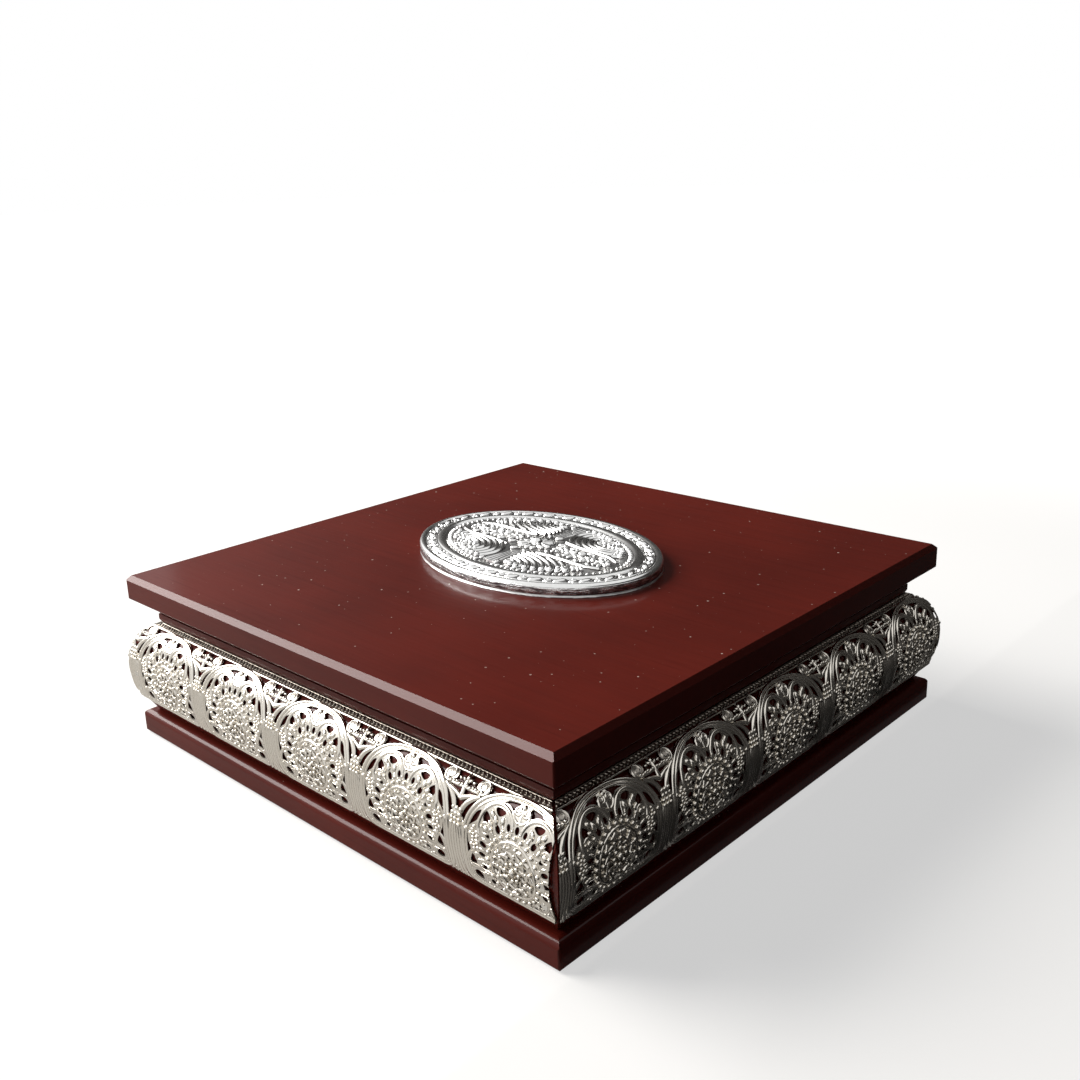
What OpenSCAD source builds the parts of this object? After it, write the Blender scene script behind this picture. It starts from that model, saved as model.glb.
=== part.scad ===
// Square keepsake box with bulging walls between two boards, a hinged lid,
// pierced metal strips round the walls and an oval metal medallion on the lid.
// The origin is at the middle of the underside. Z is up and the front faces -Y.

/* [Box] */
// Side of the square lid board and base board
box_side = 138; // [120:1:160]
// Height of the walls, from the base board to their flat top
wall_h = 25; // [22:0.5:34]
// Radius of the boards' upright corners
corner_r = 0.5; // [0.3:0.1:4]
// Radius of the boards' lower edges
low_edge_r = 0.5; // [0.2:0.1:1]

/* [Lid] */
// Thickness of the lid board
lid_t = 6; // [4:0.5:9]
// Width and height of the bevel round the top of the lid board
lid_bevel = 1.1; // [0.4:0.1:1.8]
// How far the lid board overhangs the frame under it
lid_overhang = 5; // [3:0.25:7]
// Width of the rails of the frame under the lid board
rail_w = 7; // [6.5:0.25:9]
// Height of those rails
rail_h = 3.8; // [3:0.1:5]
// Gap between the rails and the walls when the lid is shut
parting_gap = 0.2; // [0.1:0.05:0.4]

/* [Base] */
// Thickness of the base board
base_t = 6; // [5:0.5:9]
// Radius of the base board's upper edge
base_edge_r = 1.6; // [0.5:0.1:2]
// Height at which the felt holds the base board off the table
felt_stand = 0.4; // [0.2:0.1:1]
// Depth of the felt's recess in the underside of the base board
felt_recess = 1; // [0.4:0.1:1.5]
// Distance from the felt's edge to the base board's edge
felt_margin = 5; // [3:0.5:12]

/* [Walls] */
// How far the walls' widest line stands out beyond the boards' edge
bulge_out = 0.9; // [0:0.1:1.6]
// Height of the widest line above the base board
bulge_rise = 12; // [10:0.5:14]
// Radius of the swelling below the widest line
bulge_low_r = 21; // [18:0.5:40]
// Radius of the swelling at its shoulder, near the top
shoulder_r = 5.6; // [4:0.1:6.5]
// How far the shoulder's flat top lies in from the boards' edge
shoulder_in = 6; // [5:0.25:7]
// Depth of the shoulder's flat top below the top of the walls
shoulder_drop = 2.9; // [2.6:0.1:4]
// Radius of the small moulding between the shoulder and the top
neck_r = 1.3; // [0.8:0.1:1.8]
// Height of the quirk between that moulding and the shoulder
quirk_h = 0.5; // [0.4:0.05:0.6]
// How far the neck stands in from the boards' edge
neck_in = 4.8; // [4:0.1:6]

/* [Linings] */
// Thickness of the padded linings of the walls
lining_t = 1.6; // [1:0.1:2.5]
// Thickness of the pad on the floor
floor_pad_t = 2.8; // [1.5:0.1:5]
// Thickness of the pad in the lid
lid_pad_t = 2.4; // [1:0.1:3]
// Distance from the top of the wall linings to the top of the walls
lining_drop = 0.8; // [0.4:0.1:3]
// Clearance round each lining
lining_gap = 0.15; // [0.1:0.05:0.3]

/* [Metal strips] */
// Thickness of the strips' sheet
sheet_t = 0.35; // [0.25:0.05:0.6]
// Height of the stamped relief above the sheet
relief_h = 0.45; // [0.2:0.05:0.7]
// Distance from one stem of the pattern to the next
tile_pitch = 28.35; // [24:0.05:34]
// Distance from the strip's first end to its first stem, front and back
stem_start_front = 2.5; // [1:0.1:8]
// The same for the strips on the right and left
stem_start_side = 0.9; // [0.6:0.1:8]
// Height of the strips' lower edge above the base board
strip_lift = 3.4; // [2:0.1:5]
// How far the strips' upper edge lies out from the shoulder's flat top
strip_top_out = 0.4; // [0.2:0.05:1]
// Gap between each strip's end and the corner
strip_end_gap = 0.4; // [0.2:0.1:1.5]
// Height of the rosettes' middle above the base board
rosette_rise = 10.9; // [9:0.1:13]
// Radius of the rosettes
rosette_r = 5.2; // [3.5:0.1:5.6]
// Radius of the arches round the rosettes
arch_r = 10.6; // [9.8:0.1:11]
// Width of an arch's ridge
arch_w = 0.9; // [0.5:0.1:1.2]
// Width of a stem between two arches
stem_w = 4; // [2:0.1:5]
// Height of a stem's head above the rosettes' middle
stem_over = 4; // [2:0.1:5]
// Distance from a stem's middle to the holes on both sides of its head
spandrel_x = 1.9; // [1.2:0.1:2.4]
// Height of those holes above the rosettes' middle
spandrel_rise = 7.6; // [6.5:0.1:8.5]
// Radius of the round holes between a rosette and its arch
hole_r = 0.95; // [0.5:0.05:1.1]
// Number of those holes
hole_count = 12; // [6:1:12]

/* [Strip nails] */
// Radius of the nails' shanks
nail_r = 0.35; // [0.25:0.05:0.45]
// Radius of their heads
nail_head_r = 0.75; // [0.6:0.05:1]
// Height of their heads
nail_head_h = 0.35; // [0.2:0.05:0.5]
// Distance from the corner to the nails
nail_in = 3.1; // [2.4:0.1:4]
// Height of the lower nail of each pair above the base board
nail_rise = 7; // [6:0.1:8]
// Distance between the two nails of a pair
nail_step = 3.8; // [2.2:0.1:5]
// Wood left between a nail's point and the mitre
nail_cover = 0.25; // [0.2:0.05:0.5]

/* [Medallion] */
// Place of the medallion's middle, to the right of the box's middle
medal_x = -1.2; // [-8:0.1:8]
// Place of the medallion's middle, behind the box's middle
medal_y = 2.9; // [-8:0.1:8]
// Turn of the medallion about Z, in degrees
medal_turn = -4; // [-10:0.5:10]
// Length of the oval medallion
medal_l = 67.8; // [62:0.2:80]
// Width of the medallion
medal_w = 49; // [46:0.2:56]
// Radius of the medallion's round ends
medal_end_r = 19; // [15:0.5:21]
// Height of the medallion's rim above the lid board
medal_h = 3; // [2.2:0.1:4.5]
// Thickness of the medallion's sheet
medal_sheet_t = 0.5; // [0.4:0.05:0.8]
// Width of its dashed rim
medal_rim_w = 4.4; // [3:0.1:5]
// Width of the smooth ring inside the rim
medal_ring_w = 2; // [1:0.1:2.5]
// Width of the grooves on both sides of that ring
medal_groove_w = 0.5; // [0.3:0.05:0.8]
// Depth of those grooves
medal_groove_h = 0.3; // [0.1:0.05:0.3]
// Height of the medallion's ornament
medal_relief_h = 0.5; // [0.3:0.05:1]
// Number of nested flutes in each of its four shells
flutes = 4; // [2:1:5]
// Distance from one flute to the next
flute_step = 2.5; // [2:0.1:3]
// Width of a flute
flute_w = 1.3; // [0.8:0.1:1.6]
// Radius of the studs along its middle line
stud_r = 1.5; // [1:0.1:1.8]
// Distance from one stud to the next
stud_step = 6.4; // [5:0.1:7]
// Number of studs on each side of the middle one
stud_pairs = 3; // [1:1:3]
// Width of the two upright columns between the shells
column_w = 3; // [2:0.1:4]
// Distance of the shells' middles to the right and left of the medallion's middle
shell_x = 12.4; // [10:0.1:14]
// Distance of the shells' middles from the row of studs
shell_y = 15.4; // [13:0.1:17]
// Gap between the shells and the pieces beside them
ornament_gap = 0.8; // [0.4:0.1:1.2]
// Clearance between the medallion's core and its shell
medal_core_gap = 0.05; // [0.05:0.05:0.2]

/* [Hinges] */
// Distance from the boards' side edge to the middle of each hinge
hinge_in = 31; // [24:1:40]
// Length of a hinge
hinge_l = 22; // [18:1:28]
// Thickness of the leaves
leaf_t = 0.8; // [0.6:0.05:1]
// Depth to which the leaves reach in over the wall
leaf_reach = 6; // [5.6:0.1:6.2]
// Gap between the two leaves when the lid is shut
leaf_gap = 0.1; // [0.05:0.05:0.2]
// Radius of the knuckles
knuckle_r = 1.8; // [1.5:0.05:2]
// Length of the middle knuckle
knuckle_mid_l = 8; // [6:0.5:10]
// Gap between two knuckles
knuckle_gap = 0.2; // [0.1:0.05:0.4]
// Gap between the knuckles and the wall
knuckle_stand = 0.15; // [0.1:0.05:0.4]
// Radius of the hinge pins
pin_r = 0.8; // [0.6:0.05:0.9]
// Clearance between a pin and its knuckles
pin_gap = 0.05; // [0.02:0.01:0.08]

/* [Screws] */
// Radius of the hinge screws' shanks
hinge_screw_r = 0.8; // [0.6:0.05:0.9]
// Radius of the hinge screws' heads
hinge_screw_head_r = 1.45; // [1.2:0.05:1.6]
// Length of the hinge screws
hinge_screw_l = 6; // [4:0.25:7]
// Distance between the two screws of a leaf
hinge_screw_step = 13; // [9:0.5:14]
// Radius of the base screws' shanks
base_screw_r = 1.5; // [1.2:0.1:1.8]
// Radius of the base screws' heads
base_screw_head_r = 3; // [2.4:0.1:3.2]
// Length of the base screws
base_screw_l = 18; // [14:0.5:20]
// Distance from the boards' side edge to the nearer screws of a wall
base_screw_in = 29; // [24:1:44]
// Clearance round each screw and nail in its hole
screw_gap = 0.05; // [0.03:0.01:0.1]

/* [Hidden] */
$fn = 72;

// Turns of the four sides about Z, from the back wall's own place
BACK = 0;
LEFT = 90;
FRONT = 180;
RIGHT = 270;

// Heights
half = box_side / 2;
wall_top = base_t + wall_h;
rail_z = wall_top + parting_gap;
lid_z = rail_z + rail_h;
lid_top = lid_z + lid_t;
axis_z = wall_top + parting_gap / 2;

// Plan distances from the middle of the box
rail_out = half - lid_overhang;
rail_in = rail_out - rail_w;
wall_in = rail_in;
neck_d = half - neck_in;
shoulder_d = half - shoulder_in;
bulge_d = half + bulge_out;
bulge_z = base_t + bulge_rise;
shoulder_z = wall_top - shoulder_drop;

// The swelling's main radius runs smoothly into the shoulder's radius
main_dx = bulge_d - shoulder_d;
main_dz = shoulder_z - bulge_z - shoulder_r;
bulge_main_r = (main_dx * main_dx + main_dz * main_dz - shoulder_r * shoulder_r)
  / (2 * (main_dx - shoulder_r));
main_centre = [bulge_d - bulge_main_r, bulge_z];
shoulder_centre = [shoulder_d, shoulder_z - shoulder_r];
low_centre = [bulge_d - bulge_low_r, bulge_z];

// Metal strips
strip_z = base_t + strip_lift;
strip_top_d = shoulder_d + strip_top_out;
rosette_z = base_t + rosette_rise;
hole_ring_r = (rosette_r + arch_r) / 2 + 0.1;
tiles = ceil(2 * bulge_d / tile_pitch);
arch_sides = 20;

// The nails stop short of the mitre
nail_len = nail_in - nail_r - nail_cover;

// Linings
lining_in = wall_in - lining_gap - lining_t;
floor_pad_z = base_t + floor_pad_t;

// Hinges
hinge_y = neck_d + knuckle_stand + knuckle_r;
leaf_in = hinge_y - knuckle_r - leaf_reach;
leaf_low_z = axis_z - leaf_gap / 2 - leaf_t;
leaf_high_z = axis_z + leaf_gap / 2;
hinge_x = half - hinge_in;
leaf_screw_y = leaf_in + leaf_reach / 2 - 0.3;
screw_skin = 0.02;

// Screws of the base
felt_top = felt_stand + felt_recess;
base_screw_x = half - base_screw_in;
base_screw_d = (wall_in + shoulder_d) / 2 + 1;

// Width of a screw's slot as a share of its shank's radius, and the slot's share of the head
slot_w = 0.5;
slot_depth = 0.45;

// Medallion: the end arcs and the long arcs share tangents
medal_c = medal_l / 2 - medal_end_r;
medal_b = medal_w / 2;
medal_k = (medal_c * medal_c - pow(medal_b - medal_end_r, 2)) / (2 * (medal_b - medal_end_r));
medal_long_r = medal_b + medal_k;
field_in = medal_rim_w + medal_ring_w + 2 * medal_groove_w;

// Overlap that lets cutters pass clean through, and how far out they reach
eps = 0.01;
clear_out = 20;

// A shape laid on a side starts this far outside the widest line, and ends this
// far inside the shoulder
side_over = 6;
side_under = 2;

// ---- Shared shapes ----

// Region of the walls' section, grown outwards by t. X is the distance from the
// middle of the box, Y is the height.
module swelling(t) {
  tangent = (shoulder_centre - main_centre) / norm(shoulder_centre - main_centre);
  far = main_centre + tangent * (bulge_main_r + clear_out);
  low_in = [wall_in, shoulder_centre[1]];
  intersection() {
    translate(low_centre) circle(r = bulge_low_r + t);
    translate([wall_in, base_t]) square([half, bulge_rise]);
  }
  intersection() {
    translate(main_centre) circle(r = bulge_main_r + t);
    polygon([[wall_in, bulge_z], [bulge_d + clear_out, bulge_z], far, shoulder_centre, low_in]);
  }
  intersection() {
    translate(shoulder_centre) circle(r = shoulder_r + t);
    translate(shoulder_centre) square(shoulder_r + t + 1);
  }
  translate([wall_in, shoulder_centre[1] - eps]) square([shoulder_d - wall_in + eps, shoulder_r + t + eps]);
}

// Section of a wall: the swelling, and the small neck moulding on it
module wall_section() {
  neck_z = shoulder_z + quirk_h + neck_r;
  swelling(0);
  translate([wall_in, shoulder_z - eps]) square([neck_d - neck_r - wall_in, wall_top - shoulder_z + eps]);
  translate([neck_d - neck_r - eps, neck_z]) square([neck_r + eps, wall_top - neck_z]);
  translate([neck_d - neck_r, neck_z]) circle(r = neck_r);
}

// Lays a section along the side that faces +Y, then turns it to its own side
module along_side(turn, length) {
  rotate([0, 0, turn]) rotate([90, 0, 90]) linear_extrude(height = length, center = true) children();
}

// Quarter of the plan that belongs to one side, short of the mitres by gap
module quarter(turn, gap = 0) {
  reach = 2 * half;
  rotate([0, 0, turn]) linear_extrude(height = lid_top + clear_out)
    polygon([[0, gap], [reach, reach + gap], [-reach, reach + gap]]);
}

// A flat shape cut or raised along the normal of one side. Its own Y is up.
module on_side(turn, along, z) {
  rotate([0, 0, turn]) translate([along, bulge_d + side_over, z]) rotate([90, 0, 0])
    linear_extrude(height = main_dx + side_over + side_under) children();
}

// Square plate with rounded corners in plan
module plan_square(side, r) {
  inner = side / 2 - r;
  square([side, 2 * inner], center = true);
  square([2 * inner, side], center = true);
  for (sx = [-1, 1], sy = [-1, 1]) translate([sx * inner, sy * inner]) circle(r = r);
}

// Section of a board. Its lower long edges are rounded by low_r, and its upper
// ones are rounded or bevelled by high.
module board_section(side, t, low_r, high, bevelled) {
  edge = side / 2;
  translate([-edge, low_r]) square([side, t - low_r - high]);
  translate([-edge + low_r, 0]) square([side - 2 * low_r, low_r + eps]);
  for (s = [-1, 1]) translate([s * (edge - low_r), low_r]) circle(r = low_r);
  if (bevelled) {
    polygon([[-edge, t - high - eps], [edge, t - high - eps], [edge, t - high],
             [edge - high, t], [high - edge, t], [-edge, t - high]]);
  }
  if (!bevelled) {
    translate([-edge + high, t - high - eps]) square([side - 2 * high, high + eps]);
    for (s = [-1, 1]) translate([s * (edge - high), t - high]) circle(r = high);
  }
}

// Square board with rounded or bevelled edges, its underside at z
module board(side, t, z, low_r, high, bevelled) {
  translate([0, 0, z]) intersection() {
    linear_extrude(height = t) plan_square(side, corner_r);
    rotate([90, 0, 0]) linear_extrude(height = side + 2, center = true)
      board_section(side, t, low_r, high, bevelled);
    rotate([90, 0, 90]) linear_extrude(height = side + 2, center = true)
      board_section(side, t, low_r, high, bevelled);
  }
}

// Countersunk screw whose head's flat face is at z = 0 and whose point is down
module screw(r, head_r, length) {
  head_h = head_r - r;
  difference() {
    union() {
      translate([0, 0, -head_h]) cylinder(r1 = r, r2 = head_r, h = head_h);
      translate([0, 0, -length + r]) cylinder(r = r, h = length - r - head_h + eps);
      translate([0, 0, -length]) cylinder(r1 = 0.1, r2 = r, h = r);
    }
    translate([-head_r, -slot_w * r / 2, -head_h * slot_depth]) cube([2 * head_r, slot_w * r, head_h]);
  }
}

// The hole of such a screw, with the screw's clearance all round
module screw_hole(r, head_r, length) {
  head_h = head_r - r;
  translate([0, 0, -head_h]) cylinder(r1 = r + screw_gap, r2 = head_r + screw_gap, h = head_h);
  translate([0, 0, -eps]) cylinder(r = head_r + screw_gap, h = 1);
  translate([0, 0, -length - screw_gap]) cylinder(r = r + screw_gap, h = length);
}

// ---- Fasteners' places ----

module at_base_screws() {
  for (turn = [BACK, LEFT, FRONT, RIGHT], s = [-1, 1])
    rotate([0, 0, turn]) translate([s * base_screw_x, base_screw_d, felt_top + screw_skin])
      mirror([0, 0, 1]) children();
}

module at_leaf_screws() {
  for (side = [-1, 1], s = [-1, 1])
    translate([side * hinge_x + s * hinge_screw_step / 2, leaf_screw_y, 0]) children();
}

module at_fixed_screws() {
  at_leaf_screws() translate([0, 0, leaf_low_z + leaf_t - screw_skin]) children();
}

module at_moving_screws() {
  at_leaf_screws() translate([0, 0, leaf_high_z + screw_skin]) mirror([0, 0, 1]) children();
}

// Distance from the middle of the box to the outside of the sheet at height z
function sheet_d(z) = z > bulge_z
  ? main_centre[0] + sqrt(pow(bulge_main_r + sheet_t, 2) - pow(z - bulge_z, 2))
  : low_centre[0] + sqrt(pow(bulge_low_r + sheet_t, 2) - pow(z - bulge_z, 2));

// Nails are driven straight in; each child's +Y points out of the wall
module at_nails(turn) {
  for (s = [-1, 1], i = [0, 1]) {
    z = base_t + nail_rise + i * nail_step;
    rotate([0, 0, turn]) translate([s * (bulge_d - nail_in), sheet_d(z), z]) children();
  }
}

// ---- Base ----

module base_board() {
  color("#4f2a26") difference() {
    board(box_side, base_t - felt_stand, felt_stand, low_edge_r, base_edge_r, false);
    translate([0, 0, felt_stand - 1]) linear_extrude(height = felt_recess + 1)
      plan_square(box_side - 2 * felt_margin, corner_r);
    at_base_screws() screw_hole(base_screw_r, base_screw_head_r, base_screw_l);
  }
}

module base_felt() {
  color("#2c3a30") linear_extrude(height = felt_top)
    plan_square(box_side - 2 * felt_margin - 2 * lining_gap, corner_r);
}

module base_screws() {
  color("#b08d4a") at_base_screws() screw(base_screw_r, base_screw_head_r, base_screw_l);
}

// ---- Walls ----

module wall(turn) {
  color("#3c1614") difference() {
    intersection() {
      along_side(turn, 2 * bulge_d + clear_out) wall_section();
      quarter(turn);
    }
    at_base_screws() screw_hole(base_screw_r, base_screw_head_r, base_screw_l);
    at_nails(turn) nail_hole();
  }
}

module nail_hole() {
  rotate([90, 0, 0]) translate([0, 0, -1]) cylinder(r = nail_r + screw_gap, h = nail_len + 1 + screw_gap);
}

module front_wall() { wall(FRONT); }

module right_wall() { wall(RIGHT); }

module left_wall() { wall(LEFT); }

module back_wall() {
  difference() {
    wall(BACK);
    color("#3c1614") for (side = [-1, 1])
      translate([side * hinge_x - hinge_l / 2 - screw_gap, leaf_in - screw_gap, leaf_low_z])
        cube([hinge_l + 2 * screw_gap, leaf_reach + knuckle_r, wall_top]);
    at_fixed_screws() screw_hole(hinge_screw_r, hinge_screw_head_r, hinge_screw_l);
  }
}

// ---- Metal strips ----

// Shell over the swelling, from low to high above the wood
module strip_shell(turn, low, high) {
  along_side(turn, 2 * bulge_d + clear_out) intersection() {
    difference() {
      swelling(high);
      swelling(low);
    }
    translate([strip_top_d, strip_z]) square([half, wall_h]);
  }
}

// Middles of the stems and of the rosettes, from the strip's first end
function stem_x(i, start) = bulge_d - start - i * tile_pitch;
function rosette_x(i, start) = stem_x(i, start) - tile_pitch / 2;

// Outline of an arch, drawn with straight sides
function arch_outline(r) =
  [for (k = [0:arch_sides - 1]) r * [cos(360 / arch_sides * (k + 0.5)), sin(360 / arch_sides * (k + 0.5))]];

// Raised parts of one tile of the pattern: rosette, arch and stem
module raised_tile(i, start) {
  translate([rosette_x(i, start), rosette_z]) circle(r = rosette_r);
  translate([rosette_x(i, start), rosette_z]) difference() {
    polygon(arch_outline(arch_r + arch_w / 2));
    polygon(arch_outline(arch_r - arch_w / 2));
  }
  translate([stem_x(i, start) - stem_w / 2, base_t]) square([stem_w, rosette_rise + stem_over]);
}

// Round piercings between rosette and arch, clear of the lower edge, and a pair over the stem
module pierced_tile(turn, start, i) {
  for (k = [0:hole_count - 1]) {
    a = 360 / hole_count * (k + 0.5);
    x = rosette_x(i, start) + hole_ring_r * cos(a);
    z = rosette_z + hole_ring_r * sin(a);
    if (z > strip_z + 1.5 * hole_r) on_side(turn, x, z) circle(r = hole_r);
  }
  for (s = [-1, 1])
    on_side(turn, stem_x(i, start) + s * spandrel_x, rosette_z + spandrel_rise) circle(r = hole_r);
}

module strip(turn, start) {
  color("#b9b3a8") intersection() {
    difference() {
      union() {
        strip_shell(turn, 0, sheet_t);
        intersection() {
          strip_shell(turn, sheet_t / 2, sheet_t + relief_h);
          on_side(turn, 0, 0) for (i = [0:tiles]) raised_tile(i, start);
        }
      }
      for (i = [-1:tiles]) pierced_tile(turn, start, i);
      at_nails(turn) rotate([90, 0, 0]) translate([0, 0, -2])
        cylinder(r = nail_r + screw_gap, h = nail_len);
      at_nails(turn) rotate([90, 0, 0]) translate([0, 0, -2]) cylinder(r = nail_head_r + screw_gap, h = 2);
    }
    quarter(turn, strip_end_gap);
  }
}

module front_band() { strip(FRONT, stem_start_front); }

module right_band() { strip(RIGHT, stem_start_side); }

module back_band() { strip(BACK, stem_start_front); }

module left_band() { strip(LEFT, stem_start_side); }

module band_nails() {
  color("#c9c2b2") for (turn = [BACK, LEFT, FRONT, RIGHT]) at_nails(turn) {
    rotate([90, 0, 0]) translate([0, 0, -eps]) cylinder(r = nail_r, h = nail_len);
    rotate([-90, 0, 0]) cylinder(r = nail_head_r, h = nail_head_h);
  }
}

// ---- Linings ----

module floor_lining() {
  color("#6d1420") translate([0, 0, base_t]) linear_extrude(height = floor_pad_t)
    square(2 * (wall_in - lining_gap), center = true);
}

module wall_lining(turn) {
  color("#6d1420") intersection() {
    along_side(turn, 2 * wall_in) translate([lining_in, floor_pad_z + lining_gap])
      square([lining_t, wall_top - lining_drop - floor_pad_z - lining_gap]);
    quarter(turn, lining_gap);
  }
}

module front_lining() { wall_lining(FRONT); }

module right_lining() { wall_lining(RIGHT); }

module back_lining() { wall_lining(BACK); }

module left_lining() { wall_lining(LEFT); }

// ---- Lid ----

module lid_board() {
  color("#55150f") difference() {
    board(box_side, lid_t, lid_z, low_edge_r, lid_bevel, true);
    at_moving_screws() screw_hole(hinge_screw_r, hinge_screw_head_r, hinge_screw_l);
  }
}

module lid_rail(turn) {
  color("#3c1614") intersection() {
    along_side(turn, 2 * half) translate([rail_in, rail_z]) square([rail_w, rail_h]);
    quarter(turn);
  }
}

module lid_front_rail() { lid_rail(FRONT); }

module lid_right_rail() { lid_rail(RIGHT); }

module lid_left_rail() { lid_rail(LEFT); }

module lid_back_rail() {
  difference() {
    lid_rail(BACK);
    color("#3c1614") for (side = [-1, 1])
      translate([side * hinge_x - hinge_l / 2 - screw_gap, leaf_in - screw_gap, rail_z - 1])
        cube([hinge_l + 2 * screw_gap, leaf_reach + knuckle_r, leaf_high_z + leaf_t - rail_z + 1]);
    at_moving_screws() screw_hole(hinge_screw_r, hinge_screw_head_r, hinge_screw_l);
  }
}

module lid_lining() {
  color("#6d1420") translate([0, 0, lid_z - lid_pad_t]) linear_extrude(height = lid_pad_t)
    square(2 * (rail_in - lining_gap), center = true);
}

// ---- Medallion ----

// Oval of four arcs, grown outwards by t
module oval(t) {
  tangent_x = medal_c + (medal_end_r + t) * medal_c / norm([medal_c, medal_k]);
  intersection() {
    translate([0, -medal_k]) circle(r = medal_long_r + t);
    translate([0, medal_k]) circle(r = medal_long_r + t);
    square([2 * tangent_x, medal_w + 2 * abs(t) + 2], center = true);
  }
  for (s = [-1, 1]) translate([s * medal_c, 0]) circle(r = medal_end_r + t);
}

module medallion_core() {
  color("#5a3a28") translate([medal_x, medal_y, lid_top]) rotate([0, 0, medal_turn])
    linear_extrude(height = medal_h - medal_sheet_t - medal_core_gap)
      oval(-medal_sheet_t - medal_core_gap);
}

// Ring-shaped groove or band of the face, from one inset of the outline to another
module oval_ring(outer, inner) {
  difference() {
    oval(-outer);
    oval(-inner);
  }
}

// One of the four shells: nested flutes round a point near the field's edge
module shell_flutes(sx, sy) {
  clear_y = stud_r + ornament_gap;
  wide = medal_l - column_w;
  high = medal_w - clear_y;
  intersection() {
    oval(-field_in - ornament_gap / 2);
    translate([sx > 0 ? column_w : -medal_l, sy > 0 ? clear_y : -medal_w]) square([wide, high]);
    translate([sx * shell_x, sy * shell_y]) union() {
      for (i = [1:flutes]) difference() {
        circle(r = i * flute_step + flute_w / 2);
        circle(r = i * flute_step - flute_w / 2);
      }
    }
  }
}

// Columns above and below the middle, and the row of studs along it
module columns_and_studs() {
  low = stud_r + 2 * ornament_gap;
  high = medal_w / 2 - field_in - ornament_gap;
  for (s = [-1, 1]) translate([-column_w / 2, s > 0 ? low : -high]) square([column_w, high - low]);
  for (i = [-stud_pairs:stud_pairs]) translate([i * stud_step, 0]) circle(r = stud_r);
}

module medallion_shell() {
  color("#cfccc6") translate([medal_x, medal_y, lid_top]) rotate([0, 0, medal_turn]) {
    difference() {
      linear_extrude(height = medal_h) oval(0);
      translate([0, 0, -1]) linear_extrude(height = medal_h - medal_sheet_t + 1) oval(-medal_sheet_t);
      for (inset = [medal_rim_w, medal_rim_w + medal_groove_w + medal_ring_w])
        translate([0, 0, medal_h - medal_groove_h]) linear_extrude(height = 1)
          oval_ring(inset, inset + medal_groove_w);
    }
    for (sx = [-1, 1], sy = [-1, 1]) translate([0, 0, medal_h - eps])
      linear_extrude(height = medal_relief_h + eps) shell_flutes(sx, sy);
    translate([0, 0, medal_h - eps]) linear_extrude(height = medal_relief_h + eps) columns_and_studs();
  }
}

// ---- Hinges ----

module knuckle(x, x_low, x_high) {
  translate([x + x_low, hinge_y, axis_z]) rotate([0, 90, 0]) cylinder(r = knuckle_r, h = x_high - x_low);
}

module pin_bore(x) {
  translate([x, hinge_y, axis_z]) rotate([0, 90, 0])
    cylinder(r = pin_r + pin_gap, h = hinge_l + 2, center = true);
}

module leaf_plate(x, z) {
  translate([x - hinge_l / 2, leaf_in, z]) cube([hinge_l, hinge_y - leaf_in, leaf_t]);
}

// Space that the other leaf's knuckles turn in, between two places along the hinge
module knuckle_room(x, x_low, x_high) {
  room = knuckle_r + knuckle_stand;
  translate([x + x_low, hinge_y - room, axis_z - room]) cube([x_high - x_low, 2 * room, 2 * room]);
}

module fixed_leaf(x) {
  mid = knuckle_mid_l / 2;
  color("#b08d4a") difference() {
    union() {
      leaf_plate(x, leaf_low_z);
      knuckle(x, -hinge_l / 2, hinge_l / 2);
    }
    knuckle_room(x, -mid - knuckle_gap, mid + knuckle_gap);
    pin_bore(x);
    at_fixed_screws() screw_hole(hinge_screw_r, hinge_screw_head_r, hinge_screw_l);
  }
}

module moving_leaf(x) {
  mid = knuckle_mid_l / 2;
  color("#b08d4a") difference() {
    union() {
      leaf_plate(x, leaf_high_z);
      knuckle(x, -mid, mid);
    }
    knuckle_room(x, mid, hinge_l / 2 + 1);
    knuckle_room(x, -hinge_l / 2 - 1, -mid);
    pin_bore(x);
    at_moving_screws() screw_hole(hinge_screw_r, hinge_screw_head_r, hinge_screw_l);
  }
}

module hinge_pin(x) {
  color("#a07c3c") translate([x, hinge_y, axis_z]) rotate([0, 90, 0])
    cylinder(r = pin_r, h = hinge_l, center = true);
}

module left_hinge_fixed_leaf() { fixed_leaf(-hinge_x); }

module right_hinge_fixed_leaf() { fixed_leaf(hinge_x); }

module left_hinge_moving_leaf() { moving_leaf(-hinge_x); }

module right_hinge_moving_leaf() { moving_leaf(hinge_x); }

module left_hinge_pin() { hinge_pin(-hinge_x); }

module right_hinge_pin() { hinge_pin(hinge_x); }

module hinge_fixed_screws() {
  color("#b08d4a") at_fixed_screws() screw(hinge_screw_r, hinge_screw_head_r, hinge_screw_l);
}

module hinge_moving_screws() {
  color("#b08d4a") at_moving_screws() screw(hinge_screw_r, hinge_screw_head_r, hinge_screw_l);
}

base_board();
base_felt();
base_screws();
front_wall();
right_wall();
back_wall();
left_wall();
front_band();
right_band();
back_band();
left_band();
band_nails();
floor_lining();
front_lining();
right_lining();
back_lining();
left_lining();
left_hinge_fixed_leaf();
right_hinge_fixed_leaf();
hinge_fixed_screws();
left_hinge_pin();
right_hinge_pin();
left_hinge_moving_leaf();
right_hinge_moving_leaf();
hinge_moving_screws();
lid_board();
lid_front_rail();
lid_right_rail();
lid_back_rail();
lid_left_rail();
lid_lining();
medallion_core();
medallion_shell();
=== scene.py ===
"""A square keepsake box of stained wood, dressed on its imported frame.

Pierced metal strips on bulging walls, an oval medallion on a hinged lid, and a velvet inside.
Sizes in the classes are millimetres; a mesh is turned to metres as it is handed over.
"""

import logging
import math
from dataclasses import dataclass
from enum import Enum
from typing import Any, Iterable, Sequence

import bmesh
import bpy
from mathutils import Matrix, Vector


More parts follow.
